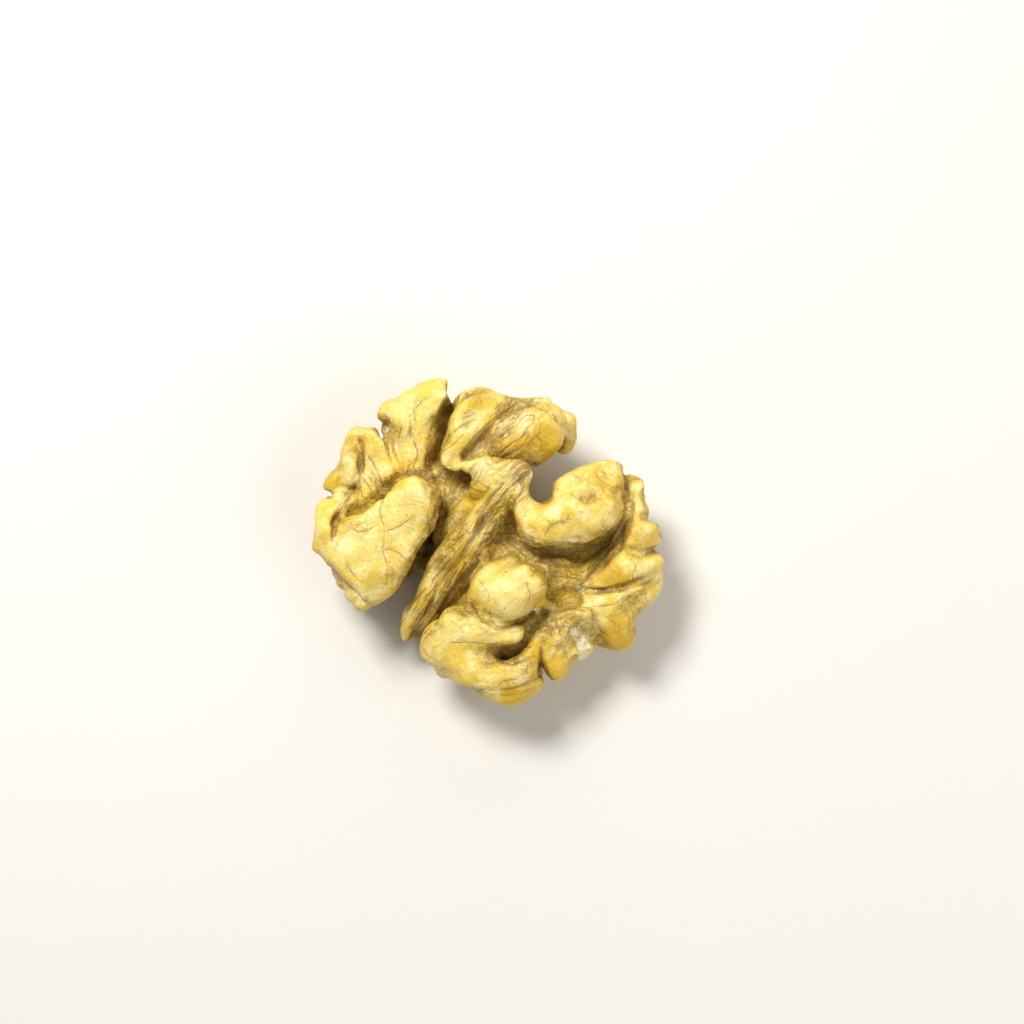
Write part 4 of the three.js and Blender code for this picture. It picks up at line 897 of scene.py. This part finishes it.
# The place of each point in its nearest wrinkle run: along it, across it, and how strong the wrinkles are
def grain_marks(flat):
    along = flat[:, 0].copy()
    across = flat[:, 1].copy()
    strength = np.zeros(len(flat))
    for reach, full, points in GRAINS:
        line = smooth_run(points, LINE_STEPS)
        some = near_line(flat, line, GRAIN_REACH)
        best = np.full(len(some), FAR)
        place = np.zeros((len(some), 2))
        travelled = 0.0
        for a, b, ap, t, away in stretches(flat[some], line):
            length = np.linalg.norm(b - a)
            closer = away < best
            best = np.where(closer, away, best)
            place[closer] = np.stack([travelled + t * length, side_of(a, b, ap) * away], 1)[closer]
            travelled += length
        power = full * (1 - smooth_step(GRAIN_FULL, 1, best / reach))
        better = power > strength[some]
        chosen = some[better]
        along[chosen], across[chosen] = place[better].T
        strength[chosen] = power[better]
    return along, across, strength


# How hollow the surface is round each point: the field rises more slowly above a hollow than above a flat
def hollowness(points, normals):
    hollow = np.zeros(len(points))
    for reach in HOLLOW_REACHES:
        above = kernel_distance((points + reach * normals).astype(np.float32)) / reach
        hollow += np.clip(1 - above, 0, HOLLOW_MOST) / len(HOLLOW_REACHES)
    return hollow


# The skin in the face frame, and what each of its points is marked with
def kernel_skin():
    points, quads = largest_piece(*surface_net(*fine_field()))
    for _ in range(RELAX_PASSES):
        points = (points + neighbour_mean(points, quads)) / 2
    normals = normals_of(points, quads)
    single = points.astype(np.float32)
    flat = points[:, :2]
    hollow = hollowness(single, normals)
    front = smooth_step(*FACE_LEAN, normals[:, 2]) * smooth_step(*FACE_HEIGHT, points[:, 2])

    side, groove, stain = vein_marks(flat)
    side = np.where(front > VEIN_FRONT, side, NO_VEIN)
    along, across, strength = grain_marks(flat)
    wrinkle = np.clip(strength * front + HOLLOW_WRINKLES * np.clip(hollow, 0, 1), 0, 1)
    tints = {tint: tint_share(flat, tint) * front for tint in TINTS}
    nearest, second = nearest_back_folds(bent(single))
    back_crease = bell(second - nearest, BACK_CREASE_WIDTH) * (1 - front)
    crease = bell(noise("wander", points) + noise("waver", points), MEANDER_WIDTH)
    crease *= smooth_step(*MEANDER_PATCH, noise("patch", points))

    run = np.stack([along * FURROW_STRETCH, across, np.zeros(len(points))], 1)
    rise = noise("broad", points) + noise("small", points) + tints["rough"] * noise("rough", points)
    rise += noise("furrow", run) * wrinkle - groove * front
    rise -= MEANDER_DEPTH * crease + BACK_CREASE_DEPTH * back_crease
    rise += tints["flesh"] * (noise("flesh", points) - FLESH_SUNK)
    marks = {
        "hollow": hollow,
        "front": front,
        "level": smooth_step(*LEVEL_LEAN, normals[:, 2]),
        "vein_side": side,
        "vein_away": np.abs(side),
        # the stain mark: real stain round the veins, and painted shade in the creases between the back folds
        "stain": np.maximum(stain * front, BACK_CREASE_SHADE * back_crease),
        "wrinkle": wrinkle,
        "along": along,
        "across": across,
        "crease": crease,
    }
    return points + normals * rise[:, None], quads, marks | tints


# The turn and shift from the face frame to the frame that the kernel rests in, both in mm
def rest_matrix(points):
    turn = Matrix.Rotation(math.radians(REST_PITCH), 4, "X")
    turned = points @ np.array(turn.to_3x3()).T
    low, high = (np.array(corner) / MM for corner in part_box("kernel"))
    middle = (turned.min(axis=0) + turned.max(axis=0)) / 2
    shift = (low + high) / 2 - middle
    shift[2] = high[2] - turned[:, 2].max()
    return Matrix.Translation(shift) @ turn


def mesh_object(name, points, quads, marks):
    mesh = bpy.data.meshes.new(name)
    mesh.vertices.add(len(points))
    mesh.vertices.foreach_set("co", points.astype(np.float32).ravel())
    mesh.loops.add(quads.size)
    mesh.loops.foreach_set("vertex_index", quads.astype(np.int32).ravel())
    mesh.polygons.add(len(quads))
    mesh.polygons.foreach_set("loop_start", np.arange(0, quads.size, 4, dtype=np.int32))
    mesh.update(calc_edges=True)
    mesh.validate()
    mesh.polygons.foreach_set("use_smooth", np.ones(len(mesh.polygons), bool))
    for mark, values in marks.items():
        layer = mesh.attributes.new(mark, "FLOAT", "POINT")
        layer.data.foreach_set("value", values.astype(np.float32))
    obj = bpy.data.objects.new(name, mesh)
    bpy.context.scene.collection.objects.link(obj)
    return obj


# Tints in linear light; gold, olive and brown also serve as painted light and shade, and the bloom tint as a
# painted highlight
SKIN_PALE = (0.87, 0.69, 0.21)
SKIN_STRAW = (0.78, 0.55, 0.07)
SKIN_GOLD = (0.67, 0.42, 0.02)
# olive, the painted shade of the hollows
SKIN_OLIVE = (0.42, 0.27, 0.026)
# brown, partly painted shade in the deepest hollows and under the arm
SKIN_BROWN = (0.2, 0.098, 0.012)
# pale bloom, which also serves as the painted highlight on the lobes' level tops
SKIN_BLOOM_AND_HIGHLIGHT = (0.93, 0.83, 0.45)
VEIN_PURPLE = (0.24, 0.105, 0.042)
BARE_FLESH = (0.8, 0.72, 0.46)
SPECK_DARK = (0.09, 0.045, 0.02)
SPECK_WHITE = (0.92, 0.9, 0.8)
FLOOR_PALE = (0.74, 0.73, 0.71)
FLOOR_SHADE = (0.7, 0.69, 0.67)
SKY_WHITE = (0.95, 0.97, 1, 1)
SKY_STRENGTH = 0.24


# A value that a material works out at each point, which can be added to and multiplied
class Value:
    def __init__(self, nodes, socket):
        self.nodes = nodes
        self.socket = socket

    def __add__(self, other):
        return self.nodes.math("ADD", self, other)

    def __mul__(self, other):
        return self.nodes.math("MULTIPLY", self, other)

    def __abs__(self):
        return self.nodes.math("ABSOLUTE", self)


# A short way to lay out a material's nodes
class Nodes:
    def __init__(self, name):
        self.material = bpy.data.materials.new(name)
        self.material.use_nodes = True
        self.tree = self.material.node_tree
        self.tree.nodes.clear()

    def node(self, kind, inputs, **settings):
        node = self.tree.nodes.new(kind)
        for setting, value in settings.items():
            setattr(node, setting, value)
        for socket, value in inputs.items():
            if isinstance(value, Value):
                self.tree.links.new(value.socket, node.inputs[socket])
            else:
                node.inputs[socket].default_value = value
        return node

    def put(self, kind, inputs, output=0, **settings):
        return Value(self, self.node(kind, inputs, **settings).outputs[output])

    def finished(self, shader):
        self.node("ShaderNodeOutputMaterial", {0: shader})
        return self.material

    def mark(self, name):
        return self.put("ShaderNodeAttribute", {}, "Fac", attribute_name=name)

    def math(self, operation, *values):
        return self.put("ShaderNodeMath", dict(enumerate(values)), operation=operation)

    def most(self, a, b):
        return self.math("MAXIMUM", a, b)

    # how far a noise is from its middle value of a half, times a factor
    def sway(self, noise, factor):
        return (noise + -0.5) * factor

    # 0 at low, full at high and smooth in between; low may be the greater of the two
    def step(self, value, low, high, full=1.0):
        return self.put("ShaderNodeMapRange", {"Value": value, 1: low, 2: high, 4: full},
                        interpolation_type="SMOOTHSTEP")

    def blend(self, share, a, b):
        sockets = {0: share}
        for socket, tint in ((6, a), (7, b)):
            sockets[socket] = (*tint, 1) if isinstance(tint, tuple) else tint
        return self.put("ShaderNodeMix", sockets, 2, data_type="RGBA")

    # scale is in lumps to a unit of place
    def noise(self, place, scale, detail=2.0, distortion=0.0, output=0):
        return self.put("ShaderNodeTexNoise", {
            "Vector": place, "Scale": scale, "Detail": detail, "Distortion": distortion}, output)

    def stretch(self, place, factor):
        return self.put("ShaderNodeVectorMath", {0: place, "Scale": factor}, operation="SCALE")

    def shift(self, place, by):
        return self.put("ShaderNodeVectorMath", {0: place, 1: by}, operation="ADD")


# The pellicle: straw-coloured skin with gold, olive and brown parts that are partly painted light and shade,
# veins, wrinkles and specks
def skin_material():
    n = Nodes("walnut_skin")
    mm = n.stretch(n.put("ShaderNodeTexCoord", {}, "Object"), 1 / MM)
    loose = n.shift(mm, n.stretch(n.noise(mm, 0.9, detail=3.0, output="Color"), 1.8))
    mottle = n.noise(mm, 0.45, detail=4.0)
    cloud = n.noise(n.shift(mm, (11, 3, 7)), 0.19)
    grainy = n.noise(mm, 3.4, detail=5.0)
    pebble = n.noise(loose, 1.6)
    patchy = n.noise(n.shift(mm, (5, 9, 2)), 0.55)
    bloom = n.noise(n.shift(mm, (2, 7, 4)), 0.8, detail=4.0, distortion=0.4)
    level = n.mark("level")
    wrinkle = n.mark("wrinkle")

    # wrinkles run along the folds: the noise is drawn out that way
    run = n.put("ShaderNodeCombineXYZ", {0: n.mark("along") * 0.45, 1: n.mark("across") * 2.6})
    furrow = n.noise(run, 1.0, detail=4.0, distortion=0.8)
    streak = n.step(furrow, 0.46, 0.66)

    # veins drawn along listed lines, whose edges and darkness vary, and thin creases
    ragged = n.mark("vein_side") + n.sway(n.noise(mm, 1.7, detail=3.0), 4.0)
    vein = n.step(abs(ragged), 2.0, 0.2) * n.step(n.mark("vein_away"), 6.0, 4.2)
    vein = vein * n.step(patchy, 0.25, 0.62)
    crease = n.step(n.mark("crease") + n.sway(grainy, 1.0), 0.35, 1.0)

    # dark specks and white crumbs
    seeds = n.node("ShaderNodeTexVoronoi", {"Vector": mm, "Scale": 1.25})
    chosen = n.put("ShaderNodeSeparateColor", {0: Value(n, seeds.outputs["Color"])})
    away = Value(n, seeds.outputs["Distance"]) + n.sway(n.noise(mm, 6.0), 0.3)
    speck = n.step(away, 0.15, 0.06) * n.step(chosen, 0.7, 0.78)
    crumb = n.step(away, 0.2, 0.12) * n.step(chosen, 0.1, 0.09)

    # painted shade: the floors between the folds and other hollows are darkened olive; they are also finely
    # crinkled, most where that shade lies
    hollow_shade = n.step(n.mark("hollow") + n.sway(pebble, 0.6), 0.02, 0.55)
    olive = n.most(hollow_shade * 0.85, n.mark("olive") * n.step(pebble, 0.25, 0.55))
    ridged = n.step(abs(n.noise(loose, 1.1, detail=4.0, distortion=0.3) + -0.5), 0.045, 0.008)
    crinkle = ridged * n.most(n.most(olive, n.mark("rough") * 0.5), wrinkle * 0.15)

    # skin with golden parts; the tops of the lobes have a pale bloom, stronger there as a painted highlight,
    # and their flanks are painted a deeper yellow as shade
    skin = n.blend(n.step(mottle, 0.38, 0.6), SKIN_PALE, SKIN_STRAW)
    # painted light: paler where the skin is well lit
    skin = n.blend(n.mark("pale") * 0.7, skin, SKIN_PALE)
    # painted light and shade: the golden tint glows where light shines through thin lobe ends and turns
    # hollows amber; the cloud adds random gold
    gold = n.mark("golden") + n.step(cloud, 0.5, 0.66) * n.step(n.mark("front"), 1.0, 0.3, 0.8)
    gold = gold + n.sway(mottle, 1.6)
    skin = n.blend(n.step(gold, 0.2, 1.0, 0.85), skin, SKIN_GOLD)
    # painted shade: flanks that lean away from level are painted a deeper gold
    skin = n.blend(n.step(level + n.sway(mottle, 0.8), 0.7, 0.1, 0.5), skin, SKIN_GOLD)
    # painted highlight: the random pale bloom is strongest on the level tops of the lobes, where the light
    # falls
    bloom_and_highlight = n.step(bloom, 0.47, 0.66, 0.55) * ((level * 0.7 + 0.3) * n.step(gold, 0.7, 0.0))
    skin = n.blend(bloom_and_highlight, skin, SKIN_BLOOM_AND_HIGHLIGHT)
    # painted shade: olive in the hollows and between the folds
    skin = n.blend(olive * 0.8, skin, SKIN_OLIVE)

    # brown flanks, wrinkles, stains, crinkles and creases; the brown tint is partly painted shade, and the
    # crinkles follow the painted shade of the hollows
    brown = n.mark("brown") * n.step(furrow + n.sway(pebble, 0.5), 0.4, 0.62)
    brown = n.most(brown, streak * wrinkle * 0.85)
    # the stain mark is real stain round the veins and painted shade in the creases of the back
    stain = n.mark("stain") * n.step(grainy + n.sway(patchy, 1.2), 0.3, 0.75)
    brown = n.most(brown, n.most(stain * 0.45, crinkle * 0.7))
    brown = n.most(brown, crease * 0.28)
    # painted shade in part: brown on the flanks, in the deepest hollows and under the arm
    skin = n.blend(brown * 0.88, skin, SKIN_BROWN)
    # random olive grain, denser in the painted shade of the hollows
    skin = n.blend(n.step(grainy, 0.5, 0.72) * (olive * 0.35 + 0.3), skin, SKIN_OLIVE)

    # veins, specks, crumbs and chipped spots
    skin = n.blend(vein * 0.62, skin, VEIN_PURPLE)
    skin = n.blend(speck * 0.62, skin, SPECK_DARK)
    skin = n.blend(crumb * n.step(grainy, 0.35, 0.6), skin, SPECK_WHITE)
    chip = n.step(n.mark("flesh") + n.sway(pebble, 0.9), 0.35, 0.6)
    skin = n.blend(chip * n.step(grainy, 0.25, 0.55), skin, BARE_FLESH)

    relief = grainy * 0.7 + n.noise(mm, 8.0, detail=3.0) * 0.2 + furrow * wrinkle * 2.2
    relief = relief + pebble * (hollow_shade + 0.3) * 1.3 + n.most(vein * 1.4, crinkle * 2.0) * -0.35
    relief = relief + n.most(crumb * 0.6, chip * grainy) * 1.2
    shader = n.put("ShaderNodeBsdfPrincipled", {
        "Base Color": skin,
        "Roughness": n.step(mottle, 0.3, 0.7, 0.1) + chip * 0.25 + (olive * 0.15 + 0.36),
        "Subsurface Weight": 0.22,
        "Subsurface Radius": (1.0, 0.5, 0.12),
        "Subsurface Scale": 0.9 * MM,
        "Specular IOR Level": 0.5,
        "Coat Weight": 0.1,
        "Coat Roughness": 0.3,
        "Normal": n.put("ShaderNodeBump", {"Height": relief, "Distance": 0.1 * MM}),
    })
    return n.finished(shader)


def floor_material():
    n = Nodes("pale_floor")
    cloud = n.noise(n.put("ShaderNodeTexCoord", {}, "Object"), 40.0)
    tint = n.blend(n.step(cloud, 0.3, 0.7, 0.1), FLOOR_PALE, FLOOR_SHADE)
    return n.finished(n.put("ShaderNodeBsdfPrincipled", {"Base Color": tint, "Roughness": 0.7}))


points, quads, marks = kernel_skin()
to_rest = rest_matrix(points)
points = points @ np.array(to_rest.to_3x3()).T + np.array(to_rest.translation)
points[:, 2] = np.maximum(points[:, 2], 0)  # the lowest folds are pressed flat where they rest
kernel = mesh_object("kernel_skin", points * MM, quads, marks)
kernel.data.materials.append(skin_material())
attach(kernel, "root")
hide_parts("kernel")


# A place of the face frame, in metres in the rest frame
def at_face(x, y, z):
    return (to_rest @ Vector((x, y, z))) * MM


# A soft square light that looks at a place
def area_light(name, place, target, side, power, tint):
    data = bpy.data.lights.new(name, "AREA")
    data.shape = "SQUARE"
    data.size = side
    data.energy = power
    data.color = tint
    light = bpy.data.objects.new(name, data)
    light.location = place
    light.rotation_mode = "QUATERNION"
    light.rotation_quaternion = (target - place).to_track_quat("-Z", "Y")
    bpy.context.scene.collection.objects.link(light)


# The photograph's frame spans this much of the face's plane, round this point, as seen from this far
PHOTO_SIDE = 1024  # pixels
PIXELS_PER_MM = 11
PHOTO_SPAN = PHOTO_SIDE / PIXELS_PER_MM
PHOTO_CENTRE = (2, 3, 0)
LENS = 100
SENSOR = 36
CAMERA_DISTANCE = PHOTO_SPAN * LENS / SENSOR
NEAREST_SEEN = 0.01  # m
FLOOR_SIDE = 3  # m

# Each light's place in the face frame, in mm, its side in m, its power in W and its tint
LIGHTS = {
    "key": [(-110, 170, 230), 0.1, 1.05, (1, 0.97, 0.9)],
    "fill": [(190, -90, 160), 0.25, 0.4, (1, 0.95, 0.86)],
    "back": [(40, 260, 70), 0.2, 0.18, (1, 1, 1)],
}

camera_data = bpy.data.cameras.new("photo_camera")
camera_data.lens = LENS
camera_data.sensor_width = SENSOR
camera_data.clip_start = NEAREST_SEEN
camera = bpy.data.objects.new("photo_camera", camera_data)
x, y, z = PHOTO_CENTRE
camera.location = at_face(x, y, z + CAMERA_DISTANCE)
camera.rotation_mode = "QUATERNION"
camera.rotation_quaternion = to_rest.to_quaternion()
bpy.context.scene.collection.objects.link(camera)
bpy.context.scene.camera = camera

bpy.ops.mesh.primitive_plane_add(size=FLOOR_SIDE)
floor = bpy.context.object
floor.name = "floor"
floor.data.materials.append(floor_material())

middle = at_face(0, 0, 0)
for name, (place, side, power, tint) in LIGHTS.items():
    area_light(name, at_face(*place), middle, side, power, tint)

world = bpy.data.worlds.new("studio")
world.use_nodes = True
background = world.node_tree.nodes["Background"]
background.inputs["Color"].default_value = SKY_WHITE
background.inputs["Strength"].default_value = SKY_STRENGTH
bpy.context.scene.world = world
bpy.context.scene.view_settings.view_transform = "Standard"
